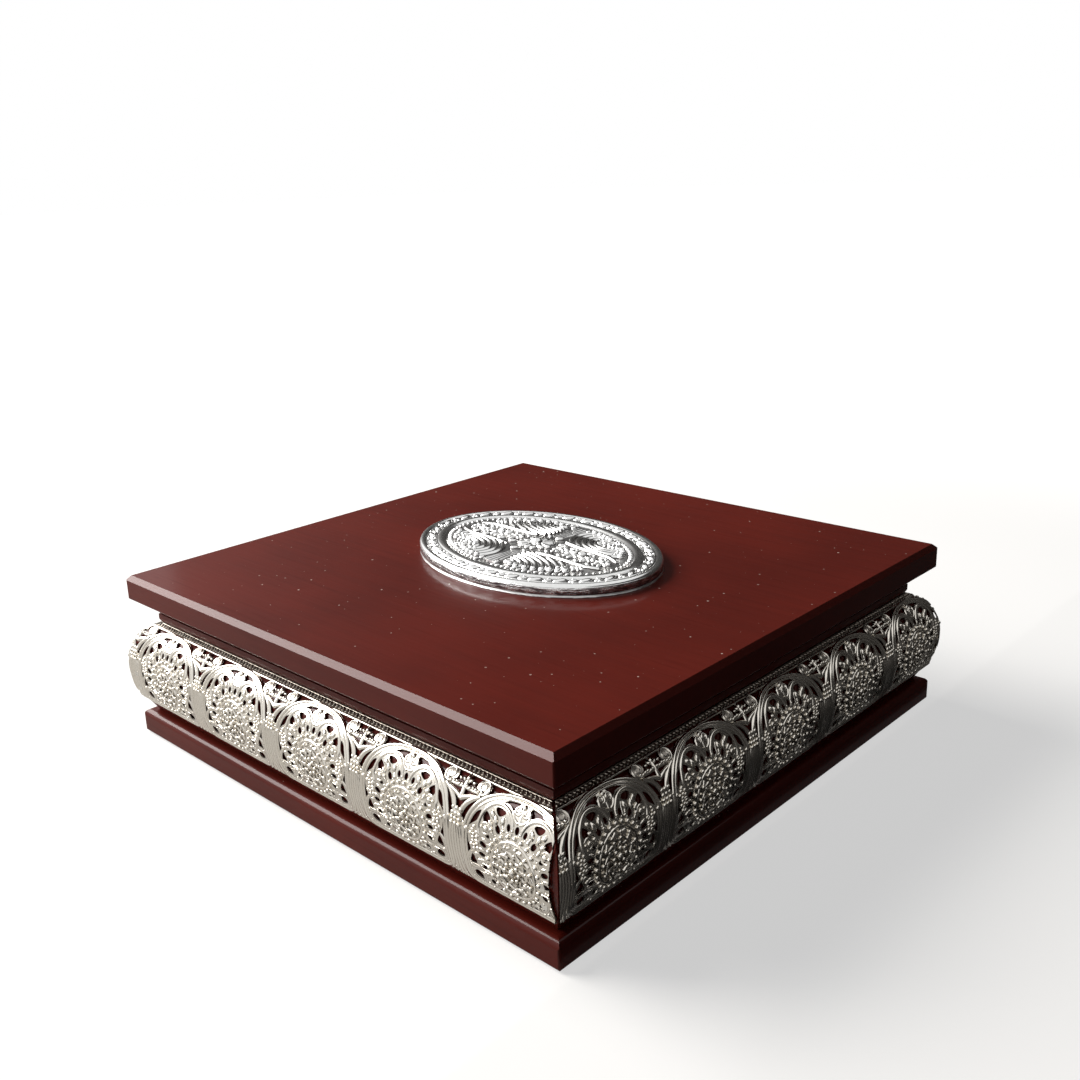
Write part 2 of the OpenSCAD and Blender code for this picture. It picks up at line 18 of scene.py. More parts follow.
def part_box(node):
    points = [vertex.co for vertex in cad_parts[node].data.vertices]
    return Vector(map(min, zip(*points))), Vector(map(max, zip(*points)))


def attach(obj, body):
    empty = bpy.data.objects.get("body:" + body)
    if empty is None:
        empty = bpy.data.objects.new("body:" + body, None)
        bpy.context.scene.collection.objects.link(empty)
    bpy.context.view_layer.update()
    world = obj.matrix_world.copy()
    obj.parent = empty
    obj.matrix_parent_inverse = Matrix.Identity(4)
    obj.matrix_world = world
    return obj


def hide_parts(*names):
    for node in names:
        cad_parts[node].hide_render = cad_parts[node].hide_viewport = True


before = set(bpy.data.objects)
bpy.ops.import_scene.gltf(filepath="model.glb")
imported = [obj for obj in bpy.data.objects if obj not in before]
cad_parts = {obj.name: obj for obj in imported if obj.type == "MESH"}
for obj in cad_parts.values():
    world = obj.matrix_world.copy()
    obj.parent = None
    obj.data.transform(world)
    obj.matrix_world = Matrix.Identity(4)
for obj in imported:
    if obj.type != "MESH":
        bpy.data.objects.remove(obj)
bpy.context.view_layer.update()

log = logging.getLogger("keepsake_box")

MM = 0.001
Pair = tuple[float, float]
Triple = tuple[float, float, float]
Colour = tuple[float, float, float]


class Body(Enum):
    """The two bodies that pieces ride on."""

    BOX = "box"
    LID = "lid"


class Side(Enum):
    """A side of the box: its name, and the turn about Z that brings the front there, in degrees."""

    FRONT = ("front", 0)
    RIGHT = ("right", 90)
    BACK = ("back", 180)
    LEFT = ("left", 270)

    @property
    def label(self) -> str:
        """The side's name in node names."""
        return self.value[0]

    @property
    def turn(self) -> Matrix:
        """Rotation from the front to this side."""
        return Matrix.Rotation(math.radians(self.value[1]), 4, "Z")


# ---------------------------------------------------------------- shader graphs


class Val:
    """A socket's value. Arithmetic on it adds Math nodes."""

    def __init__(self, graph: "Graph", socket: bpy.types.NodeSocket) -> None:
        """Holds a socket of a graph."""
        self.graph = graph
        self.socket = socket

    def _math(self, operation: str, *others: Any, clamp: bool = False) -> "Val":
        """Adds a Math node.

        Args:
            operation: The Math node's operation.
            others: Its inputs, numbers or values.
            clamp: Whether the result is kept from 0 to 1.

        Returns:
            The node's result.
        """
        settings = {"operation": operation, "use_clamp": clamp}
        return self.graph.node("ShaderNodeMath", settings, dict(enumerate(others)))["Value"]

    def __add__(self, other: Any) -> "Val":
        """Sum."""
        return self._math("ADD", self, other)

    def __radd__(self, other: Any) -> "Val":
        """Sum, the number first."""
        return self._math("ADD", other, self)

    def __sub__(self, other: Any) -> "Val":
        """Difference."""
        return self._math("SUBTRACT", self, other)

    def __mul__(self, other: Any) -> "Val":
        """Product."""
        return self._math("MULTIPLY", self, other)

    def __rmul__(self, other: Any) -> "Val":
        """Product, the number first."""
        return self._math("MULTIPLY", other, self)

    def above(self, level: float) -> "Val":
        """1 where the value is over a level, else 0."""
        return self._math("GREATER_THAN", self, level)

    def clamped(self) -> "Val":
        """The value kept from 0 to 1."""
        return self._math("ADD", self, 0.0, clamp=True)

    def ramp(self, low: float, high: float) -> "Val":
        """Smooth rise from 0 at low to 1 at high, or a fall if low is the higher."""
        return self.graph.node(
            "ShaderNodeMapRange",
            {"interpolation_type": "SMOOTHSTEP"},
            {"Value": self, "From Min": low, "From Max": high},
        )["Result"]


class Outputs:
    """A node whose outputs are read by name or place."""

    def __init__(self, graph: "Graph", node: bpy.types.Node) -> None:
        """Holds a node of a graph."""
        self.graph = graph
        self.node = node

    def __getitem__(self, key: str | int) -> Val:
        """The output of that name or place."""
        return Val(self.graph, self.node.outputs[key])


class Graph:
    """A node tree that is built from Python expressions."""

    def __init__(self, tree: bpy.types.NodeTree) -> None:
        """Empties a tree and holds it."""
        self.tree = tree
        tree.nodes.clear()

    def node(
        self, kind: str, settings: dict[str, Any] | None = None, sockets: dict[Any, Any] | None = None
    ) -> Outputs:
        """Adds a node.

        Args:
            kind: The node's type.
            settings: Its properties.
            sockets: Values or links of its inputs, by name or place.

        Returns:
            The node's outputs.
        """
        made = self.tree.nodes.new(kind)
        for name, value in (settings or {}).items():
            setattr(made, name, value)
        for key, value in (sockets or {}).items():
            socket = made.inputs[key]
            if isinstance(value, Val):
                self.tree.links.new(value.socket, socket)
            elif isinstance(value, tuple) and len(value) == 3 and socket.type == "RGBA":
                socket.default_value = (*value, 1.0)
            else:
                socket.default_value = value
        return Outputs(self, made)

    def mix(self, factor: Any, first: Any, second: Any) -> Val:
        """Mixes two colours.

        Args:
            factor: Share of the second, a number or a value.
            first: A colour or a value.
            second: A colour or a value.

        Returns:
            The mixed colour.
        """
        return self.node("ShaderNodeMix", {"data_type": "RGBA"}, {0: factor, 6: first, 7: second})[2]

    def place(self) -> Val:
        """Object coordinates, in metres."""
        return self.node("ShaderNodeTexCoord")["Object"]

    def upward(self) -> Val:
        """1 on faces that look up, 0 on upright ones."""
        normal = self.node("ShaderNodeTexCoord")["Normal"]
        return self.node("ShaderNodeSeparateXYZ", {}, {"Vector": normal})["Z"]

    def stretched(self, scale: Triple, turn: Triple = (0.0, 0.0, 0.0)) -> Val:
        """Object coordinates, scaled and turned.

        Args:
            scale: Factors along X, Y and Z.
            turn: Rotation in radians.

        Returns:
            The mapped vector.
        """
        sockets = {"Vector": self.place(), "Scale": scale, "Rotation": turn}
        return self.node("ShaderNodeMapping", {}, sockets)["Vector"]

    def noise(self, vector: Val, scale: float, detail: float = 3.0, rough: float = 0.5) -> Val:
        """Noise from 0 to 1.

        Args:
            vector: Where it is read.
            scale: Its scale, in waves to the unit.
            detail: Octaves.
            rough: Strength of the finer octaves.

        Returns:
            The noise's value.
        """
        sockets = {"Vector": vector, "Scale": scale, "Detail": detail, "Roughness": rough}
        return self.node("ShaderNodeTexNoise", {}, sockets)["Fac"]

    def bump(self, height: Val, depth: float, strength: float = 1.0) -> Val:
        """Normals from a height.

        Args:
            height: Height from 0 to 1.
            depth: What a height of 1 stands for, in metres.
            strength: Share of the effect.

        Returns:
            The bumped normal.
        """
        sockets = {"Height": height, "Distance": depth, "Strength": strength}
        return self.node("ShaderNodeBump", {}, sockets)["Normal"]

    def surface(self, sockets: dict[str, Any]) -> None:
        """Adds a Principled shader with these sockets, and the output."""
        shader = self.node("ShaderNodeBsdfPrincipled", {}, sockets)["BSDF"]
        self.node("ShaderNodeOutputMaterial", {}, {"Surface": shader})


def new_graph(name: str) -> tuple[bpy.types.Material, Graph]:
    """Makes a material.

    Args:
        name: Its name.

    Returns:
        The material and its empty graph.
    """
    material = bpy.data.materials.new(name)
    material.use_nodes = True
    return material, Graph(material.node_tree)


# ---------------------------------------------------------------- finishes


def shade(colour: Colour, factor: float) -> Colour:
    """The colour, darker or lighter by a factor."""
    return tuple(min(1.0, c * factor) for c in colour)


@dataclass(frozen=True)
class StainedWood:
    """Close-grained wood under dark stain and a satin lacquer."""

    name: str
    light: Colour = (0.104, 0.0098, 0.0050)
    dark: Colour = (0.072, 0.0068, 0.0036)
    grain_turn: float = 0.0
    roughness: float = 0.5
    specular: float = 0.05
    coat: float = 0.3
    coat_roughness: float = 0.13
    dust: float = 0.0
    dust_colour: Colour = (0.62, 0.50, 0.44)
    dust_scale: float = 330.0

    def build(self) -> bpy.types.Material:
        """Makes the material."""
        material, g = new_graph(self.name)
        turn = (0.0, 0.0, self.grain_turn)
        grain = g.noise(g.stretched((9.0, 150.0, 150.0), turn), 3.2, 5.0, 0.62)
        pores = g.noise(g.stretched((60.0, 1500.0, 1500.0), turn), 1.0, 2.0)
        cloud = g.noise(g.place(), 26.0, 3.0)
        stain = (grain * 0.35 + cloud * 0.65).ramp(0.3, 0.72)
        colour = g.mix(stain, self.dark, self.light)
        colour = g.mix(pores.ramp(0.62, 0.74) * 0.2, colour, shade(self.dark, 0.45))
        rough = self.roughness + 0.12 * (cloud - 0.5) + 0.1 * (pores - 0.5)
        if self.dust:
            colour, mask = self._dusted(g, colour)
            rough = rough + mask * 0.4
        skin = g.noise(g.place(), 900.0, 2.0) * 0.6 + pores * 0.4
        g.surface(
            {
                "Base Color": colour,
                "Roughness": rough,
                "Specular IOR Level": self.specular,
                "Coat Weight": self.coat,
                "Coat Roughness": self.coat_roughness,
                "Normal": g.bump(skin, 0.00003, 0.55),
            }
        )
        return material

    def _dusted(self, g: Graph, colour: Val) -> tuple[Val, Val]:
        """Strews pale specks on the upward faces.

        Args:
            g: The material's graph.
            colour: The wood's colour.

        Returns:
            The speckled colour and the specks' mask.
        """
        spots = {"Vector": g.place(), "Scale": self.dust_scale}
        cell = g.node("ShaderNodeTexVoronoi", {"voronoi_dimensions": "2D"}, spots)
        chosen = g.node("ShaderNodeSeparateColor", {}, {"Color": cell["Color"]})
        size = 0.014 + 0.075 * chosen["Green"] * chosen["Green"] * chosen["Green"]
        speck = (size - cell["Distance"]).ramp(0.0, 0.02)
        mask = speck * chosen["Red"].above(1.0 - self.dust) * g.upward().above(0.8)
        return g.mix(mask * (0.35 + 0.5 * chosen["Blue"]), colour, self.dust_colour), mask


@dataclass(frozen=True)
class WornSilver:
    """Thin plated metal, bright on its crests and dull in its hollows."""

    name: str
    crest: Colour = (0.74, 0.70, 0.63)
    hollow: Colour = (0.27, 0.235, 0.20)
    crest_roughness: float = 0.2
    hollow_roughness: float = 0.36
    fog: Colour = (0.62, 0.57, 0.50)
    streak: Colour = (0.13, 0.115, 0.12)
    grain_depth: float = 0.00005
    brushed: bool = False

    def build(self) -> bpy.types.Material:
        """Makes the material. It reads the relief value from the mesh: the height of the relief, lowered on
        the strips' border for painted shade.
        """
        material, g = new_graph(self.name)
        relief = g.node("ShaderNodeAttribute", {"attribute_name": "relief"})["Fac"]
        fog = g.noise(g.place(), 210.0, 4.0, 0.6)
        fine = g.noise(g.place(), 1400.0, 3.0)
        crest = (relief * 0.85 + fog * 0.3 - 0.05).ramp(0.12, 0.62)
        colour = g.mix(crest, self.hollow, self.crest)
        colour = g.mix(fog.ramp(0.6, 0.8) * 0.35, colour, self.fog)
        rough = self.hollow_roughness + (self.crest_roughness - self.hollow_roughness) * crest
        height = fine * 0.5 + fog * 0.5
        if self.brushed:
            streaks = g.noise(g.stretched((330.0, 330.0, 2400.0), (0.22, 0.22, 0.0)), 1.0, 4.0, 0.7)
            wall = (g.upward() * -1.0 + 1.0).ramp(0.7, 0.95)
            height = height + wall * streaks * 9.0
            colour = g.mix(wall * streaks.ramp(0.58, 0.42), colour, self.streak)
        g.surface(
            {
                "Base Color": colour,
                "Metallic": 1.0,
                "Roughness": rough + 0.12 * (fog - 0.5),
                "Normal": g.bump(height, self.grain_depth, 0.6),
            }
        )
        return material


@dataclass(frozen=True)
class SmallMetal:
    """Plain metal of hinges, pins, nails and screws."""

    name: str
    colour: Colour
    roughness: float = 0.3

    def build(self) -> bpy.types.Material:
        """Makes the material."""
        material, g = new_graph(self.name)
        fog = g.noise(g.place(), 420.0, 3.0)
        scratches = g.noise(g.stretched((2400.0, 260.0, 260.0), (0.3, 0.2, 0.7)), 1.0, 2.0)
        colour = g.mix(fog.ramp(0.45, 0.75) * 0.6, self.colour, shade(self.colour, 0.55))
        g.surface(
            {
                "Base Color": colour,
                "Metallic": 1.0,
                "Roughness": self.roughness + 0.2 * (fog - 0.5),
                "Normal": g.bump(scratches, 0.00002, 0.5),
            }
        )
        return material


@dataclass(frozen=True)
class Pile:
    """Cloth with a pile: velvet, or felt where the pile is short and matted."""

    name: str
    colour: Colour
    sheen: float = 0.8
    matted: float = 0.3

    def build(self) -> bpy.types.Material:
        """Makes the material."""
        material, g = new_graph(self.name)
        fibre = g.noise(g.place(), 2600.0, 2.0, 0.7)
        lay = g.noise(g.place(), 60.0, 3.0)
        clump = g.noise(g.place(), 480.0, 4.0, 0.65)
        tone = (clump * 0.6 + lay * 0.4).ramp(0.35, 0.68)
        colour = g.mix(tone, shade(self.colour, 0.55), self.colour)
        colour = g.mix(fibre.ramp(0.5, 0.75) * 0.3, colour, shade(self.colour, 1.7))
        g.surface(
            {
                "Base Color": colour,
                "Roughness": 0.9 + 0.1 * (clump - 0.5),
                "Specular IOR Level": 0.2,
                "Sheen Weight": self.sheen,
                "Sheen Roughness": 0.35,
                "Normal": g.bump(fibre * (1.0 - self.matted) + clump * self.matted, 0.00025, 0.6),
            }
        )
        return material


# ---------------------------------------------------------------- meshes


def as_mesh(bm: bmesh.types.BMesh, name: str) -> bpy.types.Mesh:
    """Turns a bmesh into a mesh of that name, and frees it."""
    mesh = bpy.data.meshes.new(name)
    bm.to_mesh(mesh)
    bm.free()
    return mesh


def take_in(bm: bmesh.types.BMesh, mesh: bpy.types.Mesh) -> None:
    """Adds a mesh to bm, and removes it."""
    bm.from_mesh(mesh)
    bpy.data.meshes.remove(mesh)


def lay(bm: bmesh.types.BMesh, mesh: bpy.types.Mesh, move: Matrix) -> None:
    """Adds a moved copy of a mesh to bm."""
    laid = mesh.copy()
    laid.transform(move)
    take_in(bm, laid)


def add(name: str, data: bpy.types.ID) -> bpy.types.Object:
    """Adds an object with that name and data to the scene."""
    made = bpy.data.objects.new(name, data)
    bpy.context.scene.collection.objects.link(made)
    return made


def cut_by(
    bm: bmesh.types.BMesh, place: Triple, normal: Triple, clear: bool = False
) -> list[bmesh.types.BMEdge]:
    """Cuts a mesh along a plane.

    Args:
        bm: The mesh.
        place: A point of the plane.
        normal: The plane's normal.
        clear: Whether what lies on the normal's side is removed.

    Returns:
        The edges along the cut.
    """
    parts = bm.verts[:] + bm.edges[:] + bm.faces[:]
    cut = bmesh.ops.bisect_plane(bm, geom=parts, plane_co=place, plane_no=normal, clear_outer=clear)
    return [e for e in cut["geom_cut"] if isinstance(e, bmesh.types.BMEdge)]


def hand_over(
    bm: bmesh.types.BMesh,
    name: str,
    material: bpy.types.Material,
    body: Body,
    stands_for: Iterable[str],
    sharp: float = 60.0,
) -> bpy.types.Object:
    """Turns a bmesh in millimetres into a finished piece in metres.

    Args:
        bm: The mesh, which is freed.
        name: The piece's name.
        material: Its material.
        body: The body that it rides on.
        stands_for: CAD nodes that it replaces.
        sharp: Angle in degrees over which an edge stays sharp.

    Returns:
        The piece.
    """
    mesh = as_mesh(bm, name)
    mesh.transform(Matrix.Scale(MM, 4))
    mesh.materials.append(material)
    mesh.shade_smooth()
    mesh.set_sharp_from_angle(angle=math.radians(sharp))
    piece = add(name, mesh)
    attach(piece, body.value)
    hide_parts(*stands_for)
    log.info("%s: %d faces", name, len(mesh.polygons))
    return piece


def arc(centre: Pair, radius: Pair, start: float, end: float, steps: int) -> list[Pair]:
    """Points on an arc, or on a spiral if the radius changes.

    Args:
        centre: Its centre.
        radius: Radius at its start and at its end.
        start: Start angle in degrees; 0 is along +X, 90 along +Y.
        end: End angle in degrees.
        steps: Number of steps.

    Returns:
        The points.
    """
    made = []
    for i in range(steps + 1):
        t = i / steps
        a = math.radians(start + (end - start) * t)
        r = radius[0] + (radius[1] - radius[0]) * t
        made.append((centre[0] + r * math.cos(a), centre[1] + r * math.sin(a)))
    return made


def smooth(points: Sequence[Pair], steps: int = 6) -> list[Pair]:
    """A smooth line through points.

    Args:
        points: The points that it passes through.
        steps: Steps between two of them.

    Returns:
        The finer points.
    """
    made = []
    last = len(points) - 1
    for i in range(last):
        p = [Vector(points[max(0, min(last, i + k))]) for k in (-1, 0, 1, 2)]
        for j in range(steps):
            t = j / steps
            point = 0.5 * (
                2 * p[1]
                + (p[2] - p[0]) * t
                + (2 * p[0] - 5 * p[1] + 4 * p[2] - p[3]) * t * t
                + (3 * p[1] - p[0] - 3 * p[2] + p[3]) * t * t * t
            )
            made.append((point.x, point.y))
    made.append(tuple(points[-1]))
    return made


def rounded(points: Sequence[Pair], steps: int = 4) -> list[Pair]:
    """A smooth closed line through points.

    Args:
        points: The points that it passes through, in order.
        steps: Steps between two of them.

    Returns:
        The finer points, without the first one again.
    """
    ring = [points[-2], points[-1], *points, points[0], points[1]]
    fine = smooth(ring, steps)
    return fine[2 * steps : (len(points) + 2) * steps]


def mirrored(points: Sequence[Pair], k: int = -1, middle: float = 0.0) -> list[Pair]:
    """Points that are given from a middle line along Y, laid on one side of it.

    Args:
        points: The points, given for the right side.
        k: 1 for the right side, -1 for the left.
        middle: The line's X.

    Returns:
        The points on that side.
    """
    return [(middle + k * x, y) for x, y in points]


def oval(centre: Pair, radii: Pair, steps: int = 16, turn: float = 0.0) -> list[Pair]:
    """Points round an ellipse.

    Args:
        centre: Its centre.
        radii: Its radii along its own X and Y.
        steps: Number of points.
        turn: Its turn in degrees.

    Returns:
        The points.
    """
    c, s = math.cos(math.radians(turn)), math.sin(math.radians(turn))
    made = []
    for i in range(steps):
        a = 2 * math.pi * i / steps
        x, y = radii[0] * math.cos(a), radii[1] * math.sin(a)
        made.append((centre[0] + x * c - y * s, centre[1] + x * s + y * c))
    return made


class Stamping:
    """Stamped and pierced sheet, laid out flat in millimetres: X along, Y across, Z out of the sheet."""

    THICKNESS = 0.3
    HOLLOW_Z = -0.1
    CREST_Z = 0.45

    def __init__(self) -> None:
        """Starts with nothing."""
        self.wires: list[tuple[Sequence[Pair], Sequence[float], float, bool]] = []
        self.plates: list[tuple[list[Sequence[Pair]], float]] = []
        self.beads: list[Matrix] = []

    def wire(
        self, points: Sequence[Pair], radius: float | Pair, height: float = 0.0, closed: bool = False
    ) -> None:
        """Adds a raised line.

        Args:
            points: Its middle line.
            radius: Its radius, or its radii at start and end.
            height: Height of its middle over the sheet.
            closed: Whether it closes on itself.
        """
        ends = radius if isinstance(radius, tuple) else (radius, radius)
        last = max(1, len(points) - 1)
        radii = [ends[0] + (ends[1] - ends[0]) * i / last for i in range(len(points))]
        self.wires.append((points, radii, height, closed))

    def plate(
        self, outline: Sequence[Pair], holes: Iterable[Sequence[Pair]] = (), height: float = 0.0
    ) -> None:
        """Adds flat sheet.

        Args:
            outline: Its outline.
            holes: Outlines cut from it.
            height: Height of its middle over the sheet's.
        """
        self.plates.append(([outline, *holes], height))

    def bead(self, place: Pair, radii: float | Triple, turn: float = 0.0, height: float = 0.0) -> None:
        """Adds a bead or a leaf.

        Args:
            place: Its middle.
            radii: Its radius, or its three radii.
            turn: Its turn in degrees.
            height: Height of its middle.
        """
        size = radii if isinstance(radii, tuple) else (radii, radii, radii)
        move = Matrix.Translation((place[0], place[1], height))
        self.beads.append(move @ Matrix.Rotation(math.radians(turn), 4, "Z") @ Matrix.Diagonal((*size, 1.0)))

    @staticmethod
    def _curve(thickness: float = 0.0) -> bpy.types.Curve:
        """An empty curve, for plates of a thickness or, without one, for wires."""
        curve = bpy.data.curves.new("stamping", "CURVE")
        curve.dimensions = "2D" if thickness else "3D"
        if thickness:
            curve.fill_mode = "BOTH"
            curve.extrude = thickness / 2
        else:
            curve.bevel_depth = 1.0
            curve.bevel_resolution = 1
            curve.use_fill_caps = True
            curve.twist_mode = "Z_UP"
        return curve

    @staticmethod
    def _spline(
        curve: bpy.types.Curve, points: Sequence[Pair], radii: Sequence[float], height: float, closed: bool
    ) -> None:
        """Adds a polyline to a curve."""
        spline = curve.splines.new("POLY")
        spline.points.add(len(points) - 1)
        for target, (x, y), r in zip(spline.points, points, radii):
            target.co = (x, y, height, 1.0)
            target.radius = r
        spline.use_cyclic_u = closed

    @staticmethod
    def _take(bm: bmesh.types.BMesh, curve: bpy.types.Curve, lift: float) -> None:
        """Adds a curve's mesh to bm, lifted, and removes the curve."""
        holder = bpy.data.objects.new("stamping", curve)
        part = bmesh.new()
        take_in(part, bpy.data.meshes.new_from_object(holder))
        bmesh.ops.remove_doubles(part, verts=part.verts, dist=1e-4)
        bmesh.ops.recalc_face_normals(part, faces=part.faces)
        bmesh.ops.translate(part, vec=(0.0, 0.0, lift), verts=part.verts)
        take_in(bm, as_mesh(part, "stamping"))
        bpy.data.objects.remove(holder)
        bpy.data.curves.remove(curve)

    def build(self, flatten: float, step: float = 0.0, bead_steps: int = 8) -> bmesh.types.BMesh:
        """Makes the flat mesh, with a relief value from 0 in the hollows to 1 on the crests.

        Args:
            flatten: Height of a wire as a share of its width.
            step: Spacing of the cuts that let the plates bend across Y, or 0.
            bead_steps: Faces round a bead.

        Returns:
            The mesh.
        """
        bm = bmesh.new()
        for outlines, height in self.plates:
            curve = self._curve(self.THICKNESS)
            for points in outlines:
                self._spline(curve, points, [1.0] * len(points), 0.0, True)
            self._take(bm, curve, height)
        if step:
            rows = sorted(v.co.y for v in bm.verts)
            y = math.floor(rows[0] / step) * step + step
            while y < rows[-1]:
                cut_by(bm, (0, y, 0), (0, 1, 0))
                y += step
        raised = bmesh.new()
        if self.wires:
            curve = self._curve()
            for points, radii, height, closed in self.wires:
                self._spline(curve, points, radii, height / flatten, closed)
            self._take(raised, curve, 0.0)
            bmesh.ops.scale(raised, vec=(1.0, 1.0, flatten), verts=raised.verts)
        seed = bmesh.new()
        bmesh.ops.create_uvsphere(seed, u_segments=bead_steps, v_segments=bead_steps // 2, radius=1.0)
        bead = as_mesh(seed, "bead")
        for place in self.beads:
            lay(raised, bead, place)
        bpy.data.meshes.remove(bead)
        take_in(bm, as_mesh(raised, "raised"))
        relief = bm.verts.layers.float.new("relief")
        for v in bm.verts:
            share = (v.co.z - self.HOLLOW_Z) / (self.CREST_Z - self.HOLLOW_Z)
            v[relief] = min(1.0, max(0.0, share))
        return bm


# ---------------------------------------------------------------- carcase


@dataclass
class Carcase:
    """Boards, walls and rails, which keep their CAD shapes under stain and lacquer."""

    lid_dust: float = 0.3
    base_dust: float = 0.22
    core_light: Colour = (0.2, 0.1, 0.05)
    core_dark: Colour = (0.12, 0.06, 0.03)

    def build(self) -> None:
        """Dresses every wooden node, the grain along each piece."""
        dress(StainedWood("lid_wood", dust=self.lid_dust).build(), "lid_board")
        dress(StainedWood("base_wood", dust=self.base_dust).build(), "base_board")
        for axis, turn, sides in (("x", 0.0, ("front", "back")), ("y", math.pi / 2, ("left", "right"))):
            for kind, name in (("wall", "{}_wall"), ("rail", "lid_{}_rail")):
                wood = StainedWood(f"{kind}_wood_along_{axis}", grain_turn=turn)
                dress(wood.build(), *(name.format(side) for side in sides))
        core = StainedWood("core_wood", light=self.core_light, dark=self.core_dark)
        dress(core.build(), "medallion_core")


def dress(material: bpy.types.Material, *names: str) -> None:
    """Gives CAD nodes a material.

    Args:
        material: The material.
        names: The nodes.
    """
    for name in names:
        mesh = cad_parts[name].data
        mesh.materials.clear()
        mesh.materials.append(material)
        log.info("%s is dressed with %s", name, material.name)


@dataclass
class Fittings:
    """Hinges, pins, nails and screws, which keep their CAD shapes."""

    brass: Colour = (0.60, 0.42, 0.17)
    steel: Colour = (0.52, 0.50, 0.47)
    silver: Colour = (0.78, 0.76, 0.71)

    def build(self) -> None:
        """Dresses the metal nodes."""
        leaves = [f"{s}_hinge_{k}_leaf" for s in ("left", "right") for k in ("fixed", "moving")]
        dress(SmallMetal("hinge_brass", self.brass).build(), *leaves)
        dress(SmallMetal("pin_steel", self.steel).build(), "left_hinge_pin", "right_hinge_pin")
        screws = SmallMetal("screw_brass", shade(self.brass, 0.85), 0.36)
        dress(screws.build(), "hinge_fixed_screws", "hinge_moving_screws", "base_screws")
        dress(SmallMetal("nail_silver", self.silver, 0.24).build(), "band_nails")


# ---------------------------------------------------------------- pierced strips


@dataclass(frozen=True)
class BulgeProfile:
    """The outside of the sheet on the bulging wall, as arcs walked down from the strip's upper edge.

    Each arc is its centre's distance from the middle of the box, its centre's height, and its radius.
    """

    shoulder: Triple = (63.0, 22.5, 5.95)
    main: Triple = (55.86, 18.0, 14.39)
    low: Triple = (48.9, 18.0, 21.35)
    top_angle: float = 86.1
    join_angle: float = 32.2

    def place(self, v: float, h: float) -> Pair:
        """Where a point of the flat strip lies.

        Args:
            v: Distance down the sheet from its upper edge.
            h: Height over the sheet's outside.

        Returns:
            Distance from the middle of the box, and height.
        """
        first = math.radians(self.top_angle - self.join_angle) * self.shoulder[2]
        second = first + math.radians(self.join_angle) * self.main[2]
        if v < first:
            (cd, cz, r), a = self.shoulder, self.top_angle - math.degrees(v / self.shoulder[2])
        elif v < second:
            (cd, cz, r), a = self.main, self.join_angle - math.degrees((v - first) / self.main[2])
        else:
            (cd, cz, r), a = self.low, -math.degrees((v - second) / self.low[2])
        a = math.radians(a)
        return cd + (r + h) * math.cos(a), cz + (r + h) * math.sin(a)


